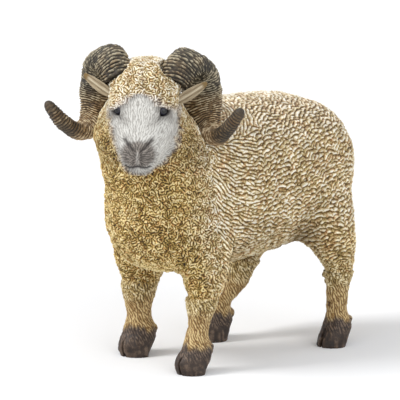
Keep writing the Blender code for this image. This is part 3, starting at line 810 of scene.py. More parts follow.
@dataclass(frozen=True)
class WoolPaint(Finish):
    """Moulded PVC, washed with brown in the crevices and dry-brushed with cream on the crests.

    The wash gives the eye the depth between the locks, and the dry brush their bright edges.
    """

    cream: Stops = spaced(WASHED, "#31210A", "#6F5423", "#B29860", "#E2D2AC", "#FFF9EA")
    gold: Stops = spaced(WASHED, "#241704", "#563F10", "#937531", "#CDB067", "#F8E6B6")
    # pale wool round the face, also laid over the upward-facing back as a painted highlight
    pale: Stops = spaced(WASHED, "#5E5250", "#877C76", "#B3AAA2", "#D6CFC8", "#F0ECE7")
    # rust and moss, each pooled over a few locks and on single crests: colour, millimetres and strength
    washes: tuple[tuple[str, float, float], ...] = (
        ("#B0604A", 3.1, 0.16),
        ("#7E8A4A", 3.7, 0.16),
        ("#B0604A", 0.7, 0.40),
        ("#7E8A4A", 0.8, 0.35),
    )
    # dark brown multiplied in as painted shade in the flank's fold, on the cheeks and under the belly
    painted_shade: str = "#6A5630"
    stroke_mm: float = 0.35
    tones: tuple[float, float] = (0.80, 1.10)

    def paint(self, brush: Brush) -> Painted:
        """Brown in the crevices and cream on the crests, with golden places, pale paint round the face, a
        painted highlight on the back and painted shade on flank, cheeks and belly.

        Args:
            brush: Works on the material.

        Returns:
            The colour, and the height of the fine strokes.
        """
        strokes = brush.grain(self.stroke_mm)
        cream, gold, pale = brush.ramps(brush.shaken(strokes, 1.0), self.cream, self.gold, self.pale)
        colour = brush.mixed("gold", cream, gold)
        for seed, (code, size, share) in enumerate(self.washes):
            patches = brush.ranged(brush.grain(size, 2.0, 20.0 * seed), (0.50, 0.68), (0.0, share))
            colour = brush.mixed(patches, colour, code, "OVERLAY")
        # pale paint round the face, and the painted highlight on the back
        colour = brush.mixed("pale_edge_and_top_light", colour, pale)
        tone = brush.ranged(brush.value("tone"), (0, 1), self.tones)
        grey = brush.add("ShaderNodeCombineColor", dict.fromkeys(range(3), tone))
        colour = brush.mixed(1.0, colour, grey, "MULTIPLY")
        # last, the painted shade of the flank's fold, the cheeks and the belly
        return brush.mixed("painted_shade", colour, self.painted_shade, "MULTIPLY"), strokes


@dataclass(frozen=True)
class HeadPaint(WoolPaint):
    """The same wool paint beside a face of smooth PVC under matt white, airbrushed grey at muzzle and eyes.

    The thin matt coat shows the short fur as hairlines, and the grey sits softly round the features. Round
    the eyes, beside the groove, at the mouth, under the chin and under the wool's edge the grey is partly
    painted shade.
    """

    white: Stops = ((0.0, "#807C74"), (0.3, "#ABA7A0"), (0.75, "#D9D7D0"))
    muzzle: Stops = ((0.0, "#35312C"), (0.45, "#655E57"), (0.9, "#968D84"))
    # grey for the airbrushed grey and the painted shade round the features
    shade: str = "#8B8683"
    line: str = "#2B2523"

    def paint(self, brush: Brush) -> Painted:
        """White fur with grey paint and painted shade, then the wool round it.

        Args:
            brush: Works on the material.

        Returns:
            The colour, and the height of the fine strokes.
        """
        wool, strokes = super().paint(brush)
        face, muzzle = brush.ramps(brush.shaken(brush.grain(0.5), 0.5), self.white, self.muzzle)
        face = brush.mixed("muzzle", face, muzzle)
        # grey paint round the eyes and painted shade, multiplied into the white
        face = brush.mixed("socket", face, self.shade, "MULTIPLY")
        return brush.mixed("wool", brush.mixed("line", face, self.line), wool), strokes


@dataclass(frozen=True)
class HornPaint(Finish):
    """PVC painted as horn: near-black wash in the grooves, dry-brushed over the ridges with grey tan.

    The wash marks each growth ring as a dark line, and the brush catches only the crests.
    """

    grey: Stops = ((0.08, "#090704"), (0.38, "#272118"), (0.7, "#4E4634"), (0.98, "#AFA48A"))
    brown: Stops = ((0.08, "#1E1408"), (0.34, "#67502F"), (0.66, "#A08158"), (0.98, "#E0CBA6"))
    ochre: str = "#7A5B25"

    def paint(self, brush: Brush) -> Painted:
        """Dark grooves, grey and brown crests and some ochre.

        Args:
            brush: Works on the material.

        Returns:
            The colour, and the height of the fine grain.
        """
        grain = brush.grain(0.45, 4.0)
        colour = brush.mixed("brown", *brush.ramps(brush.shaken(grain, 0.9), self.grey, self.brown))
        spots = brush.ranged(brush.grain(1.4, 2.0), (0.42, 0.60), (0.0, 1.0))
        share = brush.add("ShaderNodeMath", {0: spots, 1: brush.value("ochre")}, operation="MULTIPLY")
        return brush.mixed(share, colour, self.ochre, "OVERLAY"), grain


@dataclass(frozen=True)
class EarPaint(Finish):
    """Thin PVC painted beige with a brown wash in the grooves and an ochre tip.

    The fine hair shows as hairlines along the ear.
    """

    beige: Stops = ((0.1, "#77654B"), (0.45, "#A39275"), (0.9, "#C8BB9F"))
    tip: str = "#7C6338"

    def paint(self, brush: Brush) -> Painted:
        """Beige with brown grooves and an ochre tip.

        Args:
            brush: Works on the material.

        Returns:
            The colour, and the height of the hairlines.
        """
        comb = brush.add("ShaderNodeAttribute", output="Vector", attribute_name="comb")
        hair = brush.add("ShaderNodeTexNoise", {"Vector": comb, "Scale": 1.0, "Detail": 2.0})
        return brush.mixed("tip", *brush.ramps(brush.shaken(hair, 0.8), self.beige), self.tip), hair


@dataclass(frozen=True)
class LegPaint(Finish):
    """PVC painted tan with a brown wash between the strands, and hooves in dark purple brown.

    The wash gives the hair its depth, and the hooves look harder for their even dark coat.
    """

    hair: Stops = ((0.0, "#42290E"), (0.25, "#735226"), (0.55, "#A1804B"), (0.9, "#DAC18C"))
    woolly: Stops = spaced(WASHED, "#2A1C07", "#5D4619", "#957B42", "#C8B17A", "#EFE1BC")
    horny: Stops = ((0.1, "#1C130D"), (0.5, "#3A2B21"), (0.9, "#725F4F"))

    def paint(self, brush: Brush) -> Painted:
        """Wool, then tan hair, over dark hooves.

        Args:
            brush: Works on the material.

        Returns:
            The colour, and the height of the fine grain.
        """
        grain = brush.grain(0.35)
        hair, wool, hoof = brush.ramps(brush.shaken(grain, 0.8), self.hair, self.woolly, self.horny)
        return brush.mixed("hoof", brush.mixed("wool", hair, wool), hoof), grain


@dataclass(frozen=True)
class EyePaint(Finish):
    """Black-brown enamel with a gloss coat, which gives each eye one small bright highlight."""

    iris: str = "#2B2A34"
    pupil: str = "#050505"

    def paint(self, brush: Brush) -> Painted:
        """A dark iris round a black pupil."""
        return brush.mixed("pupil", self.iris, self.pupil), brush.grain(0.5)


@dataclass(frozen=True)
class FloorPaper(Finish):
    """Matt white studio paper. It shows the shadow softly and otherwise reads as plain white."""

    white: str = "#F2F2F2"

    def surface(self, brush: Brush) -> Socket:
        """Gives an even matt surface."""
        spec = {"Color": linear(self.white), "Roughness": self.roughness}
        return brush.add("ShaderNodeBsdfDiffuse", spec)


# --- The woolly body and the head ---


@dataclass(frozen=True)
class Face:
    """The white face in the head's frame: its edge, its drawn lines and its eyelids.

    An edge gives the half width of the white at several heights. A line gives side and height of its
    corners and is drawn on both sides.
    """

    white_left: Line = (
        ((-19.6, 0.0), (-18.6, 3.3), (-17.6, 5.6), (-14.7, 8.0), (-11.5, 8.9), (-8.1, 9.4), (-4.6, 9.0))
        + ((-3.4, 8.2), (-2.7, 6.0), (-2.0, 4.3), (-1.0, 3.2), (0.1, 2.0), (1.0, 0.0))
    )
    white_right: Line = (
        ((-19.6, 0.0), (-18.4, 2.5), (-16.7, 3.5), (-14.0, 5.2), (-11.0, 6.4), (-7.5, 7.5), (-5.0, 8.2))
        + ((-3.8, 8.0), (-2.9, 6.0), (-2.1, 4.3), (-1.0, 3.2), (0.1, 2.0), (1.0, 0.0))
    )
    white_back: float = 5.5
    snout: tuple[float, float] = (11.5, 14.5)
    sockets: tuple[float, float] = (6.5, 8.0)
    nostril: Line = ((3.6, -10.4), (2.3, -11.8), (0.8, -13.1))
    crease: Line = ((3.9, -12.0), (2.6, -13.3), (1.6, -14.6))
    groove: Line = ((0.0, -13.6), (0.0, -17.1))
    groove_edge: Line = ((0.95, -13.8), (1.15, -16.6))
    lips: Line = ((0.0, -17.1), (1.2, -17.5), (2.4, -17.55), (3.3, -17.2))
    tear_line: Line = ((5.7, -4.1), (5.0, -5.3))
    brow: Line = ((4.2, -2.4), (6.2, -1.2), (8.6, -2.0))
    muzzle_drop: float = 14.1
    muzzle_half: tuple[float, float] = (4.9, 3.45)
    eye_side: float = 6.5
    eye_forward: float = 10.9
    eye_drop: float = 3.4
    eye_tilt: float = math.radians(38)
    eye_half: tuple[float, float] = (1.55, 1.04)

    def white_share(self, head: Array) -> Array:
        """How far each point of the head lies inside the white face.

        Args:
            head: Points in the head's frame.

        Returns:
            Millimetres inside the white edge, below zero outside it.
        """
        side, forward, up = head.T
        edges = (np.array(edge).T for edge in (self.white_left, self.white_right))
        left, right = (np.interp(up, *edge, left=-3, right=-3) for edge in edges)
        inside = np.minimum(np.where(side > 0, left, right) - np.abs(side), forward - self.white_back)
        return np.where((up < self.white_left[0][0]) | (forward < 3), -3.0, inside)

    def features(self, head: Array) -> dict[str, Array]:
        """The relief and the paint of eyes, nostrils and mouth, with painted shade round them and under the
        chin.

        Args:
            head: Points in the head's frame.

        Returns:
            "depth" in millimetres, the share of grey paint round the eyes and painted shade, and the shares
            "muzzle" and "line".
        """
        side, forward, up = head.T
        flat = np.column_stack([np.abs(side), up])
        front = smooth_step(forward, *self.snout)
        slit = drawn(flat, self.nostril, 0.30 + 0.28 * smooth_step(up, -13.2, -11.0)) * front
        crease = drawn(flat, self.crease, 0.3) * front
        lobe = hump(np.hypot(flat[:, 0] - 2.9, flat[:, 1] + 15.0), 1.7) * front
        groove = drawn(flat, self.groove, 0.36) * front
        beside = drawn(flat, self.groove_edge, 0.5) * front
        mouth = drawn(flat, self.lips, 0.33) * smooth_step(forward, 12, 13.5)
        # the underside of the chin, for painted shade
        chin = smooth_step(up, -17.5, -18.3) * front
        half_side, half_up = self.muzzle_half
        grey = np.hypot(side / half_side, (up + self.muzzle_drop) / half_up)
        muzzle = smooth_step(grey + 0.12 * soft_noise(head, 1.2, 52), 1.2, 0.78) * front
        # the opening of the lids is an almond that leans outwards
        out = (np.abs(side) - self.eye_side) * 0.8 - (forward - self.eye_forward) * 0.6
        rise = up + self.eye_drop
        cosine, sine = math.cos(self.eye_tilt), math.sin(self.eye_tilt)
        long = (out * cosine + rise * sine) / self.eye_half[0]
        short = (rise * cosine - out * sine) / (self.eye_half[1] - 0.36 * np.clip(long**2, 0, 1.5))
        opening = np.hypot(long, short)
        near = smooth_step(forward, *self.sockets)
        hole = smooth_step(opening, 1.1, 0.8) * near
        rim = hump(opening - 1.45, 0.3) * near
        lash = smooth_step(opening, 1.45, 1.05) * near
        around = smooth_step(opening, 4.8, 1.2) * near
        corner = drawn(flat, self.tear_line, 0.3) * near
        brow = drawn(flat, self.brow, 0.8) * near
        depth = -0.5 * slit - 0.15 * crease - 0.2 * beside + 0.12 * groove - 0.4 * mouth
        line = 0.8 * slit + 0.3 * crease + 0.2 * lobe + mouth + hole + 0.6 * lash + 0.6 * corner
        return {
            "depth": depth - 1.2 * hole + 0.25 * rim + 0.35 * brow,
            # grey paint round the eyes, and painted shade in the sockets, beside the groove, at the mouth and
            # under the chin
            "socket": np.clip(0.6 * around + 0.5 * beside + 0.2 * mouth + 0.4 * chin, 0, 1),
            "muzzle": np.clip(muzzle + 0.5 * slit, 0, 1) * (1 - 0.35 * groove),
            "line": np.clip(line, 0, 1),
        }


@dataclass
class Fleece:
    """The carved wool skin over body, neck and head, cut along the figure's real seams.

    The ridges lie level on the flank and turn upright towards the chest: degrees at places along the body.
    Each lump is given by its size and its height.
    """

    face: Face = Face()
    swell: float = 0.2
    coarse_cell: float = 0.75
    coarse_rounds: int = 5
    fine_cell: float = 0.21
    fine_rounds: int = 2
    seam_point: Place = (1.2 + MIDDLE_X, -29.0 + BODY_Y, 70.0)
    seam_away: Place = (0.35, -0.60, 0.72)
    turn_y: tuple[float, ...] = (-24, -18, -9, -2)
    turn_degrees: tuple[float, ...] = (80, 50, 28, 4)
    nape_degrees: float = -38
    nose_drop: float = 15.0
    chest_y: float = -24.0
    chest_top_z: float = 64
    thigh_z: float = 26
    sweep_y: float = -7
    lumps: tuple[tuple[float, float], ...] = ((4.2, 0.20), (1.5, 0.18))
    cuff: float = -0.28
    elbow: float = 0.7
    fringe: float = 0.6
    sunk: float = 0.25

    def build(self) -> None:
        """Makes the skin, carves it and cuts it into head and body halves."""
        nodes = ("body_left_shell", "body_right_shell", "head")
        whole = welded_copy("fleece", (*nodes, *(leg.node for leg in LEGS)), self.swell)
        remesh(whole, self.coarse_cell, self.coarse_rounds)
        keep_outer(whole)
        skin = Skin(whole)
        skin.push(swollen(skin.points) - self.swell)
        remesh(whole, self.fine_cell, self.fine_rounds)
        skin = Skin(whole)
        LOG.info("fleece skin: %d points", len(skin.points))
        self.carve(skin)
        self.split(whole)

    def lie(self, skin: Skin, wool: Array) -> tuple[Array, Array, Array]:
        """Which kind of lock grows where, and which way its ridges run.

        Args:
            skin: The surface.
            wool: 1 on wool and 0 on the face.

        Returns:
            The number of the kind at each point, the direction of its ridges and the direction across them.
        """
        points, normals = skin.points, skin.normals
        y, z = points[:, 1] - BODY_Y, points[:, 2]
        head = to_head(points)
        down = falling(normals, (0.0, 0.35, -1.0))
        level = np.cross(down, normals)
        level = level * np.where(level[:, 1] < 0, -1, 1)[:, None]
        drift = soft_noise(points, 5.0, 21)
        turn = np.radians(np.interp(y, self.turn_y, self.turn_degrees)) + drift * 0.22
        nape = smooth_step(z, 60, 65) * smooth_step(y, 0, -8) * smooth_step(y, -40, -20)
        turn = turn * (1 - nape) + nape * (np.radians(self.nape_degrees) + drift * 0.1)
        chest = (y < self.chest_y + 2 * drift) & (z < self.chest_top_z) | (head[:, 1] > 0.5)
        cap = (head[:, 2] > -3) & (z > 71.5) & (head[:, 1] > -7) | (head[:, 1] > -1.5) & (z > 56)
        curly = chest | cap | (z < self.thigh_z + 3 * drift)
        kinds = np.full(len(points), Carving.CRIMP.number)
        kinds[(y < self.sweep_y + 3 * drift) & ~curly] = Carving.SWEEP.number
        kinds[(nape > 0.5) & ~curly] = Carving.STRAND.number
        kinds[curly] = Carving.CURL.number
        turn = np.where(curly, np.random.default_rng(5).uniform(0, 2 * math.pi, len(points)), turn)
        cosine, sine = np.cos(turn)[:, None], np.sin(turn)[:, None]
        along, across = level * cosine + down * sine, down * cosine - level * sine
        # the fur of the face runs away from the nose
        furry = wool < 0.5
        kinds[furry] = Carving.FUR.number
        flow = np.column_stack([head[:, 0], np.zeros(len(head)), head[:, 2] + self.nose_drop])[furry]
        flow = flow @ np.array(HEAD_MATRIX).T
        side = normals[furry]
        along[furry] = unit(flow - (flow * side).sum(1)[:, None] * side)
        across[furry] = np.cross(side, along[furry])
        kinds[z < WOOL_END_Z - 1] = -1
        return kinds, unit(along), unit(across)

    def carve(self, skin: Skin) -> None:
        """Carves wool, face and eyelids into the skin and keeps what the paint needs.

        Args:
            skin: The surface.
        """
        points, normals = skin.points, skin.normals
        head = to_head(points)
        inside = self.face.white_share(head)
        wool = smooth_step(inside + 0.8 * soft_noise(points, 1.0, 31), 0.5, -0.4)
        chisel = Chisel(7)
        chisel.carve(skin, *self.lie(skin, wool))
        carved = chisel.relief(points)
        face = self.face.features(head)
        y, z = points[:, 1] - BODY_Y, points[:, 2]
        (large, high), (small, low) = self.lumps
        clumps = soft_noise(points, small, 43)
        lumps = soft_noise(points, large, 41) * high + clumps * low
        # the wool sinks towards the bare legs and swells behind the left foreleg
        cuff = self.cuff * smooth_step(z, 23.5, 20.2)
        behind = smooth_step(normals @ np.array([0.67, 0.74, 0.0]), 0.3, 0.9)
        cuff = cuff + self.elbow * behind * smooth_step(y, -10, -14) * smooth_step(z, 38, 32)
        fringe = self.fringe * smooth_step(inside, -3.2, -0.8)
        standing = (lumps + cuff + fringe - self.sunk) * wool
        skin.push(carved["height"] + standing + face["depth"] * (1 - wool))
        points, normals = skin.points, skin.normals
        # golden chest and legs
        slanted = y + 0.15 * points[:, 0] + 2.5 * soft_noise(points, 5.0, 44)
        chest = smooth_step(slanted, -17, -30) * smooth_step(z, 76, 64)
        gold = chest + 0.55 * smooth_step(z, 40, 24)
        # painted shade in the flank's fold, on the cheeks and under the belly
        flank = hump(y - 13.5, 3.5) * smooth_step(z, 38, 30) * smooth_step(z, 20, 24)
        _, ahead, up = head.T
        cheek = smooth_step(up, -1, -5) * smooth_step(up, -22, -18) * smooth_step(ahead, -1, 2)
        belly = smooth_step(z, 44, 32) * smooth_step(y, -14, -8) * smooth_step(y, 20, 14)
        # pale paint round the face, strongest at the brow, and a painted highlight on the upward-facing back
        brow = smooth_step(up, -6, -2)
        fade = inside + soft_noise(points, 1.7, 33)
        # painted highlight: wool on the back that faces up turns paler
        back = 0.25 * smooth_step(normals[:, 2], 0.45, 0.85) * smooth_step(y, -24, -16)
        # painted shade between the clumps and painted light on their tops, strongest on the chest
        uneven = (0.06 + 0.1 * chest) * clumps * wool
        crest = carved["crest"] * (0.85 + 0.15 * wool) + uneven + 0.1 * (1 - wool)
        skin.paint(
            relief=crest,
            tone=carved["tone"],
            wool=wool,
            gold=np.clip(gold, 0, 1),
            painted_shade=np.clip(0.5 * flank + 0.3 * cheek + 0.2 * belly, 0, 1),
            pale_edge_and_top_light=smooth_step(fade, -1.5 - 3.0 * brow, 0.0) * (0.5 + 0.3 * brow) + back,
            # painted shade on the white face just under the wool's edge
            socket=np.clip(face["socket"] + 0.28 * smooth_step(fade, 2.6, 0.3), 0, 1),
            muzzle=face["muzzle"],
            line=face["line"],
        )

    def split(self, whole: Object) -> None:
        """Cuts the carved skin along the neck, the middle and the ends of the wool.

        Args:
            whole: The carved skin.
        """
        away = Vector(self.seam_away).normalized()
        wool_look = WoolPaint("painted_pvc_wool", 0.78).make()
        head_look = HeadPaint("painted_pvc_head", 0.72).make()
        head = new_object("head_carved", whole.data.copy())
        cut_off(head, self.seam_point, -away)
        cut_off(whole, self.seam_point, away)
        cut_off(whole, (0, 0, WOOL_END_Z), (0, 0, -1))
        other = new_object("fleece_right", whole.data.copy())
        whole.name = "fleece_left"
        cut_off(whole, (MIDDLE_X, 0, 0), (-1, 0, 0))
        cut_off(other, (MIDDLE_X, 0, 0), (1, 0, 0))
        dress(head, head_look, "face", "head")
        dress(whole, wool_look, "wool", "body_left_shell")
        dress(other, wool_look, "wool", "body_right_shell")


@dataclass
class Eye:
    """A glossy eyeball with a low cornea, set into the lids."""

    word: str
    way: int
    diameter: float = 2.8
    side: float = 5.79
    forward: float = 9.95
    drop: float = 3.4
    bulge: float = 0.05
    pupil: tuple[float, float] = (0.9, 0.55)
    stations: int = 28
    sides: int = 36

    def build(self, look: Look) -> None:
        """Turns the eyeball's profile and sets it in the head.

        Args:
            look: The eye's finish.
        """
        radius = self.diameter / 2
        gaze = HEAD_MATRIX @ Vector((self.way * 0.6, -0.8, 0.02)).normalized()
        turn = gaze.to_track_quat("Z", "Y").to_matrix()
        centre = HEAD_MATRIX @ Vector((self.way * self.side, -self.forward, -self.drop))
        centre = Vector(HEAD_CENTRE) + centre
        around = np.linspace(0, FULL_TURN, self.sides + 1)[:-1]
        rings = []
        for angle in np.linspace(0.04, math.pi - 0.04, self.stations):
            high = radius * math.cos(angle) * (1 + self.bulge * math.exp(-((angle / 0.5) ** 2)))
            wide = radius * math.sin(angle)
            spots = [Vector((wide * math.cos(t), wide * math.sin(t), high)) for t in around]
            rings.append([centre + turn @ spot for spot in spots])
        made = rings_to_mesh(f"{self.word}_eye", rings)
        skin = Skin(made)
        local = (skin.points - np.array(centre)) @ np.array(turn)
        spread = np.hypot(local[:, 0] / self.pupil[0], local[:, 1] / self.pupil[1])
        skin.paint(pupil=smooth_step(spread, 1.1, 0.9))
        dress(made, look, "face")


# --- Horns, ears and tail ---


@dataclass
class Horn:
    """A ringed horn that coils round the ear and opens outwards to a blunt tip.

    Its section is broad across the coil, and leans towards the coil's middle at the base. The four rows of
    shares are evenly spaced from the base to the tip.
    """

    word: str
    way: int
    base_side: float
    coil_drop: float
    coil_rise: float = 9.9
    coil_reach: float = 7.0
    coil_back: float = 4.1
    start: float = math.radians(36)
    sweep: float = math.radians(320)
    tip_side: float = 26.2
    base_breadth: float = 8.7
    tip_breadth: float = 2.8
    base_lean: float = math.radians(45)
    filling: float = 0.55
    blunt_end: float = 0.03
    rings: int = 66
    sunk: float = 0.26
    stations: int = 640
    sides: int = 88
    outward: tuple[float, ...] = (0.00, 0.18, 0.32, 0.365, 0.460, 0.69, 1.00)
    taper: tuple[float, ...] = (1.00, 1.06, 1.16, 1.14, 0.62, 0.33, 0.00)
    flatness: tuple[float, ...] = (0.78, 0.69, 0.62, 0.60, 0.76, 0.86, 1.00)
    lean: tuple[float, ...] = (1.00, 0.78, 0.45, 0.18, 0.00, 0.00, 0.00)

    @staticmethod
    def along(shares: Sequence[float], t: Array) -> Array:
        """A smooth curve through evenly spaced shares.

        Args:
            shares: The shares.
            t: Where it is wanted, from 0 to 1.

        Returns:
            The curve's values.
        """
        table = np.array(shares, float)
        padded = np.concatenate([[2 * table[0] - table[1]], table, [2 * table[-1] - table[-2]]])
        place = np.clip(t, 0, 1) * (len(table) - 1)
        first = np.minimum(place.astype(int), len(table) - 2)
        u = place - first
        before, start, end, after = (padded[first + step] for step in range(4))
        straight = start + 0.5 * u * (end - before)
        curved = u * u * (before - 2.5 * start + 2 * end - 0.5 * after)
        return straight + curved + u**3 * (1.5 * (start - end) + 0.5 * (after - before))

    def surface(self, t: Array) -> Array:
        """The smooth horn under its rings.

        Args:
            t: Shares of the horn's length.

        Returns:
            For each share a ring of points in the figure's frame.
        """
        turn = self.start + self.sweep * t
        out = self.base_side + (self.tip_side - self.base_side) * self.along(self.outward, t)
        forward = -self.coil_back + self.coil_reach * np.cos(turn)
        up = -self.coil_drop + self.coil_rise * np.sin(turn)
        # near the middle of its length the horn is fuller on the side towards the head
        filled = self.filling * hump(t - 0.46, 0.12)
        path = np.column_stack([self.way * (out - filled), -forward, up])
        lead = unit(np.gradient(path, axis=0))
        outwards = np.array([float(self.way), 0, 0])
        inward = unit(np.cross(lead, outwards)) * self.way
        across = unit(outwards - lead * (lead @ outwards)[:, None])
        lean = (self.base_lean * self.along(self.lean, t))[:, None]
        broad = across * np.cos(lean) + inward * np.sin(lean)
        thin = inward * np.cos(lean) - across * np.sin(lean)
        half = (self.tip_breadth + (self.base_breadth - self.tip_breadth) * self.along(self.taper, t)) / 2
        end = np.clip((1 - t) / self.blunt_end, 0, 1)
        half = (half + filled) * np.sqrt(1 - (1 - end) ** 2 + 1e-3)
        angles = np.linspace(0, FULL_TURN, self.sides, endpoint=False)[None, :, None]
        wide = (half[:, None] * broad)[:, None, :]
        tall = (half[:, None] * self.along(self.flatness, t)[:, None] * thin)[:, None, :]
        return from_head(path[:, None, :] + np.cos(angles) * wide + np.sin(angles) * tall)

    def build(self, look: Look) -> None:
        """Sweeps the section along the coil and carves the growth rings.

        Args:
            look: The horn's finish.
        """
        t = np.linspace(0, 1, self.stations)
        spots = self.surface(t)
        made = rings_to_mesh(f"{self.word}_horn_ringed", spots)
        skin = Skin(made)
        # every value below ends with the two points that close the horn's ends
        ends = np.tile([0.0, 0.0, 1.0], (2, 1))
        ahead = np.vstack([np.gradient(spots, t, axis=0).reshape(-1, 3), ends])
        round_it = np.roll(spots, -1, axis=1) - np.roll(spots, 1, axis=1)
        round_it = np.vstack([round_it.reshape(-1, 3), ends])
        share = np.append(np.repeat(t, self.sides), [0, 1])
        steps = np.linalg.norm(np.gradient(spots.mean(axis=1), axis=0), axis=1)
        run = (np.cumsum(steps) - steps[0]) / (np.sum(steps) - steps[0])
        speed = np.append(np.repeat(np.gradient(run, t), self.sides), [1, 1])
        run = np.append(np.repeat(run, self.sides), [0, 1])
        pitch = np.maximum(np.linalg.norm(ahead, axis=1) / (self.rings * speed), 0.3)
        kinds = np.full(len(share), Carving.RING.number)
        kinds[-2:] = -1
        chisel = Chisel(60 + self.way)
        chisel.carve(skin, kinds, unit(round_it), unit(ahead), (pitch, FULL_TURN * self.rings * run))
        carved = chisel.relief(skin.points, 0.1)
        fade = smooth_step(share, 1.0, 0.95)
        worn = 1 - 0.4 * smooth_step(share, 0.7, 0.86)
        waves = soft_noise(np.column_stack([share * 18, share * 0, share * 0]), 1.0, 63 + self.way)
        skin.push((carved["height"] * worn * (1 + 0.3 * waves) - self.sunk + 0.12 * waves) * fade)
        brown = smooth_step(to_head(skin.points)[:, 2], 1, -9) * (1 - 0.6 * smooth_step(share, 0.74, 0.88))
        ochre = 0.7 * smooth_step(share, 0.14, 0.02) + 0.7 * hump(share - 0.93, 0.02)
        skin.paint(
            relief=(carved["crest"] * 0.85 * worn + 0.08 + 0.16 * waves) * fade + 0.3 * (1 - fade),
            brown=np.clip(0.9 * brown + 0.25 * soft_noise(skin.points, 3.0, 64), 0, 1),
            ochre=np.clip(ochre, 0, 1),
        )
        dress(made, look, "horn", f"{self.word}_horn")


@dataclass
class Ear:
    """A cupped leaf with a ridge along its middle, its root in the cheek wool.

    The outline gives the share of the full width at places along the ear. A ridge is given by its distance
    from the middle, its width and its height, which is below zero for a groove.
    """

    word: str
    way: int
    root_drop: float
    length: float = 11.8
    width: float = 3.1
    thickness: float = 1.5
    cup: float = 0.9
    root_side: float = 6.6
    root_forward: float = 3.3
    rise: float = math.radians(29)
    sweep_back: float = math.radians(20)
    stations: int = 70
    sides: int = 48
    softened: int = 7
    outline: Line = (
        ((0.0, 0.62), (0.22, 0.72), (0.45, 1.0), (0.68, 0.92), (0.86, 0.66), (0.97, 0.40), (1.0, 0.16))
    )
    ridges: tuple[Place, ...] = ((0.0, 0.3, 0.26), (0.6, 0.22, -0.26), (1.15, 0.14, -0.12))

    def build(self, look: Look) -> None:
        """Lofts the ear and carves its grooves.

        Args:
            look: The ear's finish.
        """
        along = np.linspace(0, 1, self.stations)
        half = np.pad(np.interp(along, *np.array(self.outline).T), self.softened // 2, mode="edge")
        half = np.convolve(half, np.ones(self.softened) / self.softened, mode="valid")
        angles = np.linspace(0, FULL_TURN, self.sides, endpoint=False)
        wide, thick = np.cos(angles), np.sin(angles)
        pose = Matrix.Rotation(self.sweep_back, 3, "Z") @ Matrix.Rotation(-self.rise, 3, "Y")
        turn = np.array(Matrix.Diagonal((self.way, 1, 1))) @ np.array(pose)
        root = np.array([self.way * self.root_side, -self.root_forward, -self.root_drop])
        rim = smooth_step(along, 1, 0.8)
        spots, relief, comb = [], [], []
        for share, width, low in zip(along, half, rim, strict=True):
            z = self.width / 2 * width * wide
            lip = self.thickness / 2 * (0.5 + width / 2)
            ridge = sum(high * hump(np.abs(z) - off, reach) for off, reach, high in self.ridges)
            front = np.where(thick < 0, 1.0, 0.0) * min(1, 6 * share) * low
            y = lip * thick - self.cup * width * wide**2 - ridge * front * np.abs(thick) ** 0.5
            local = np.column_stack([np.full(self.sides, self.length * share), y, z])
            spots.append(from_head(local @ turn.T + root))
            relief.append(np.clip(0.55 + ridge * front * 1.3, 0, 1))
            comb.append(np.column_stack([local[:, 0] / 2.2, z / 0.3, y / 0.3]))
        made = rings_to_mesh(f"{self.word}_ear_carved", spots)
        # every row ends with the two points that close the ear's ends
        Skin(made).paint(
            relief=np.append(np.concatenate(relief), [0.3, 0.5]),
            tip=np.append(np.repeat(smooth_step(along, 0.84, 0.92), self.sides), [0, 1]),
            comb=np.vstack([*comb, comb[0][:1], comb[-1][:1]]),
        )
        dress(made, look, "ear", f"{self.word}_ear")


@dataclass
class Tail:
    """The short woolly tail, carved as the fleece is."""

    node: str = "tail"
    coarse_cell: float = 0.5
    fine_cell: float = 0.25
    rounds: int = 2
    sunk: float = 0.22

    def build(self, look: Look) -> None:
        """Carves the tail's locks.

        Args:
            look: The wool's finish.
        """
        made = welded_copy("tail_carved", (self.node,))
        remesh(made, self.coarse_cell, self.rounds)
        remesh(made, self.fine_cell, self.rounds)
        skin = Skin(made)
        down = falling(skin.normals, (0.0, 0.2, -1.0))
        kinds = np.full(len(skin.points), Carving.CRIMP.number)
        chisel = Chisel(17)
        chisel.carve(skin, kinds, unit(np.cross(down, skin.normals)), down)
        carved = chisel.relief(skin.points)
        skin.push(carved["height"] - self.sunk)
        plain = dict.fromkeys(("gold", "painted_shade", "pale_edge_and_top_light"), np.zeros(len(skin.points)))
        skin.paint(relief=carved["crest"], tone=carved["tone"], **plain)
        dress(made, look, "wool", self.node)


# --- Lower legs ---


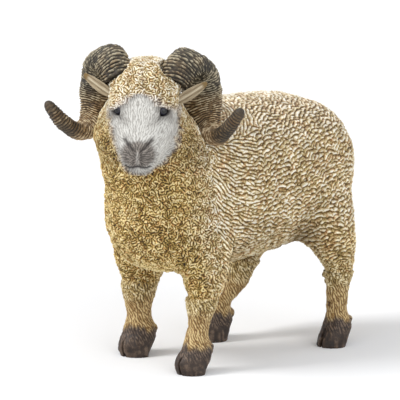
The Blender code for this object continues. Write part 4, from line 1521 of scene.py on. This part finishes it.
@dataclass
class Leg:
    """A bare lower leg with combed hair, a cloven hoof and dewclaws."""

    node: str
    seed: int
    slant: float
    toe_reach: float
    heel_cut: float
    sole_z: float = 3.0
    coronet_z: float = 6.2
    toe_z: float = 3.6
    hoof_top: float = 7.4
    cell: float = 0.22
    rounds: int = 3
    hair_end_z: float = 16.4
    sunk: float = 0.1
    groove_depth: float = 0.14
    lump_height: float = 0.16

    def build(self, look: Look) -> None:
        """Carves hair above the hoof and grooves into its wall.

        Args:
            look: The leg's finish.
        """
        made = welded_copy(f"{self.node}_carved", (self.node,))
        remesh(made, self.cell, self.rounds)
        skin = Skin(made)
        z, normals = skin.points[:, 2], skin.normals
        centre = skin.points[z < self.sole_z].mean(0)
        down = falling(normals, (0.0, 0.0, -1.0))
        along = unit(down + np.cross(normals, down) * self.slant)
        self.shape(skin, centre)
        points, normals = skin.points, skin.normals
        woolly = z > self.hair_end_z + 2.8 * soft_noise(points, 2.0, self.seed + 3)
        kinds = np.full(len(points), Carving.HAIR.number)
        kinds[woolly] = Carving.CURL.number
        kinds[(z < 2.5) | (np.abs(normals[:, 2]) > 0.9)] = -1
        # hair is combed along the slant, and woolly locks lie in all directions
        twist = np.random.default_rng(self.seed).uniform(0, FULL_TURN, len(points))
        twist = np.where(woolly, twist, 0)[:, None]
        cosine, sine = np.cos(twist), np.sin(twist)
        across = np.cross(normals, along)
        along = along * cosine + across * sine
        chisel = Chisel(self.seed)
        chisel.carve(skin, kinds, unit(along), unit(across * cosine - along * sine))
        carved = chisel.relief(points, 0.1)
        # the hoof's wall has upright grooves and faint rings
        angle = np.arctan2(points[:, 0] - centre[0], points[:, 1] - centre[1])
        wall = np.column_stack([angle * 4, z * 0.25, angle * 0])
        upright = soft_noise(wall, 0.55, self.seed + 1)
        level = soft_noise(wall * (1, 6, 1), 0.9, self.seed + 2)
        grooves = upright * 0.6 + level * 0.4
        free = smooth_step(np.abs(normals[:, 2]), 0.95, 0.7) * smooth_step(z, 0.05, 0.8)
        bare = smooth_step(z, 5.5, 3.0)
        lumps = self.lump_height * soft_noise(points, 1.6, self.seed + 4) * free
        hair = (carved["height"] - self.sunk) * (1 - bare) * (z < WOOL_END_Z)
        skin.push(hair + self.groove_depth * grooves * free * bare + lumps)
        fringe = 1.3 * soft_noise(points * (1, 1, 0.3), 1.1, self.seed)
        skin.paint(
            relief=carved["crest"] * (1 - bare) + (0.5 + 0.5 * grooves) * bare,
            wool=smooth_step(z + 1.5 * soft_noise(points, 2.0, self.seed), 13.5, 18.5),
            hoof=smooth_step(z + fringe, self.hoof_top + 1.3, self.hoof_top - 0.9),
        )
        dress(made, look, "leg", self.node)

    def shape(self, skin: Skin, centre: Array) -> None:
        """Makes the foot fullest at the coronet and tapers it under toe and heel.

        Args:
            skin: The leg's surface.
            centre: The middle of the sole.
        """
        points, z = skin.points, skin.points[:, 2]
        heel = smooth_step(points[:, 1] - centre[1], -0.5, 3.6)
        toe = smooth_step(points[:, 1] - centre[1], 1.0, -3.0)
        bulge = hump(z - self.coronet_z, 2.4) * smooth_step(z, 0.2, 2.5)
        top = smooth_step(z, 16.0, 19.4) * smooth_step(skin.normals[:, 2], 0.7, 0.3)
        points[:, 1] -= self.heel_cut * heel * smooth_step(z, 5.0, 0.5)
        points[:, 1] -= toe * (self.toe_reach * hump(z - self.toe_z, 2.3) - 0.5 * smooth_step(z, 1.6, 0.0))
        skin.push((0.25 + 0.15 * heel) * bulge + swollen(points) + 0.1 * top)


LEGS = (
    Leg("front_left_leg", 71, 0.5, 1.5, 1.2),
    Leg("front_right_leg", 73, 0.45, 1.5, 1.2),
    Leg("rear_left_leg", 75, 0.4, 0.1, 0.6),
    Leg("rear_right_leg", 77, 0.4, 0.3, 0.2),
)


# --- Studio ---


@dataclass
class Studio:
    """A plain pale floor, soft lamps and the camera at the photo's angle.

    Each lamp is a square that faces the figure: its name, its place, the length of its side and its watts.
    """

    azimuth: float = math.radians(48)
    elevation: float = math.radians(12.2)
    target: Place = (-5.67 + MIDDLE_X, -6.30 + BODY_Y, 41.14)
    view_width: float = 106.67
    lens: float = 1500.0
    sensor: float = 36.0
    clip: tuple[float, float] = (0.2, 4)
    floor_size: float = 6000.0
    room: str = "#F4F6FA"
    room_strength: float = 0.72
    lamps: tuple[tuple[str, Place, float, float], ...] = (
        ("key", (-500, -985, 1300), 600, 16.5),
        ("fill", (1300, -500, 700), 1200, 4.0),
        ("rim", (300, 1200, 1100), 900, 4.0),
    )
    lit: Place = (0, 0, 40)

    def build(self) -> None:
        """Sets floor, lamps, world, camera and the colour view."""
        self.floor()
        self.world()
        for lamp in self.lamps:
            self.hang(*lamp)
        self.camera()
        bpy.context.scene.view_settings.view_transform = "Standard"

    def floor(self) -> None:
        """Lays the floor."""
        mesh = bpy.data.meshes.new("floor")
        with edited(mesh) as shape:
            bmesh.ops.create_grid(shape, x_segments=1, y_segments=1, size=self.floor_size / 2 * MM)
        mesh.materials.append(FloorPaper("white_paper", 0.9).make())
        new_object("floor", mesh)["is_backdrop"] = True

    def world(self) -> None:
        """Lights the room evenly and shows white behind the object."""
        world = bpy.data.worlds.new("room")
        bpy.context.scene.world = world
        world.use_nodes = True
        brush = Brush(world.node_tree)
        seen = 0.0
        for kind in ("Camera", "Glossy", "Transmission"):
            ray = brush.add("ShaderNodeLightPath", output=f"Is {kind} Ray")
            seen = brush.add("ShaderNodeMath", {0: seen, 1: ray}, operation="MAXIMUM")
        colours = ((linear(self.room), self.room_strength), ((1, 1, 1, 1), 1.0))
        room, white = (brush.add("ShaderNodeBackground", dict(enumerate(spec))) for spec in colours)
        shown = brush.add("ShaderNodeMixShader", {0: seen, 1: room, 2: white})
        add_node(brush.tree, "ShaderNodeOutputWorld", {"Surface": shown})

    def hang(self, name: str, place: Place, size: float, power: float) -> None:
        """Hangs a lamp.

        Args:
            name: Its name.
            place: Where it hangs.
            size: The length of its side.
            power: Its power in watts.
        """
        light = bpy.data.lights.new(name, "AREA")
        light.shape = "SQUARE"
        light.size = size * MM
        light.energy = power
        made = new_object(name, light)
        made.location = Vector(place) * MM
        made.rotation_euler = (Vector(self.lit) - Vector(place)).to_track_quat("-Z", "Y").to_euler()
        made.visible_camera = False

    def camera(self) -> None:
        """Stands the camera at the photo's angle, far away behind a long lens."""
        data = bpy.data.cameras.new("camera")
        data.lens = self.lens
        data.sensor_width = self.sensor
        distance = self.view_width * self.lens / self.sensor * MM
        data.clip_start, data.clip_end = (distance * share for share in self.clip)
        made = new_object("camera", data)
        flat, high = math.cos(self.elevation), math.sin(self.elevation)
        back = Vector((math.sin(self.azimuth) * flat, -math.cos(self.azimuth) * flat, high))
        made.location = Vector(self.target) * MM + back * distance
        made.rotation_euler = (-back).to_track_quat("-Z", "Y").to_euler()
        bpy.context.scene.camera = made


def write_sizes() -> None:
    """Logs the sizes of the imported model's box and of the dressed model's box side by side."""
    boxes = {"cad": CAD_BOX, "visual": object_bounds()}
    plain = {name: [list(corner) for corner in box] for name, box in boxes.items()}
    for name, (low, high) in plain.items():
        LOG.info("%s box: %s mm", name, [round((b - a) / MM, 2) for a, b in zip(low, high, strict=True)])


def main() -> None:
    """Builds and dresses every piece of the ram."""
    logging.basicConfig(level=logging.INFO, format="%(name)s: %(message)s")
    Studio().build()
    Fleece().build()
    eye_look = EyePaint("gloss_enamel_eye", 0.08, bump_mm=0.002).make()
    horn_look = HornPaint("painted_pvc_horn", 0.6, bump_mm=0.08).make()
    ear_look = EarPaint("painted_pvc_ear", 0.72, bump_mm=0.05).make()
    leg_look = LegPaint("painted_pvc_leg", 0.62, bump_mm=0.05).make()
    # where each side's horn and ear sit on the turned head
    sides = (("left", 1, 7.6, 3.1, 3.4), ("right", -1, 7.1, 2.4, 1.9))
    for word, way, base_side, coil_drop, ear_drop in sides:
        Eye(word, way).build(eye_look)
        Horn(word, way, base_side, coil_drop).build(horn_look)
        Ear(word, way, ear_drop).build(ear_look)
    for leg in LEGS:
        leg.build(leg_look)
    Tail().build(bpy.data.materials["painted_pvc_wool"])
    write_sizes()


if __name__ == "__main__":
    main()
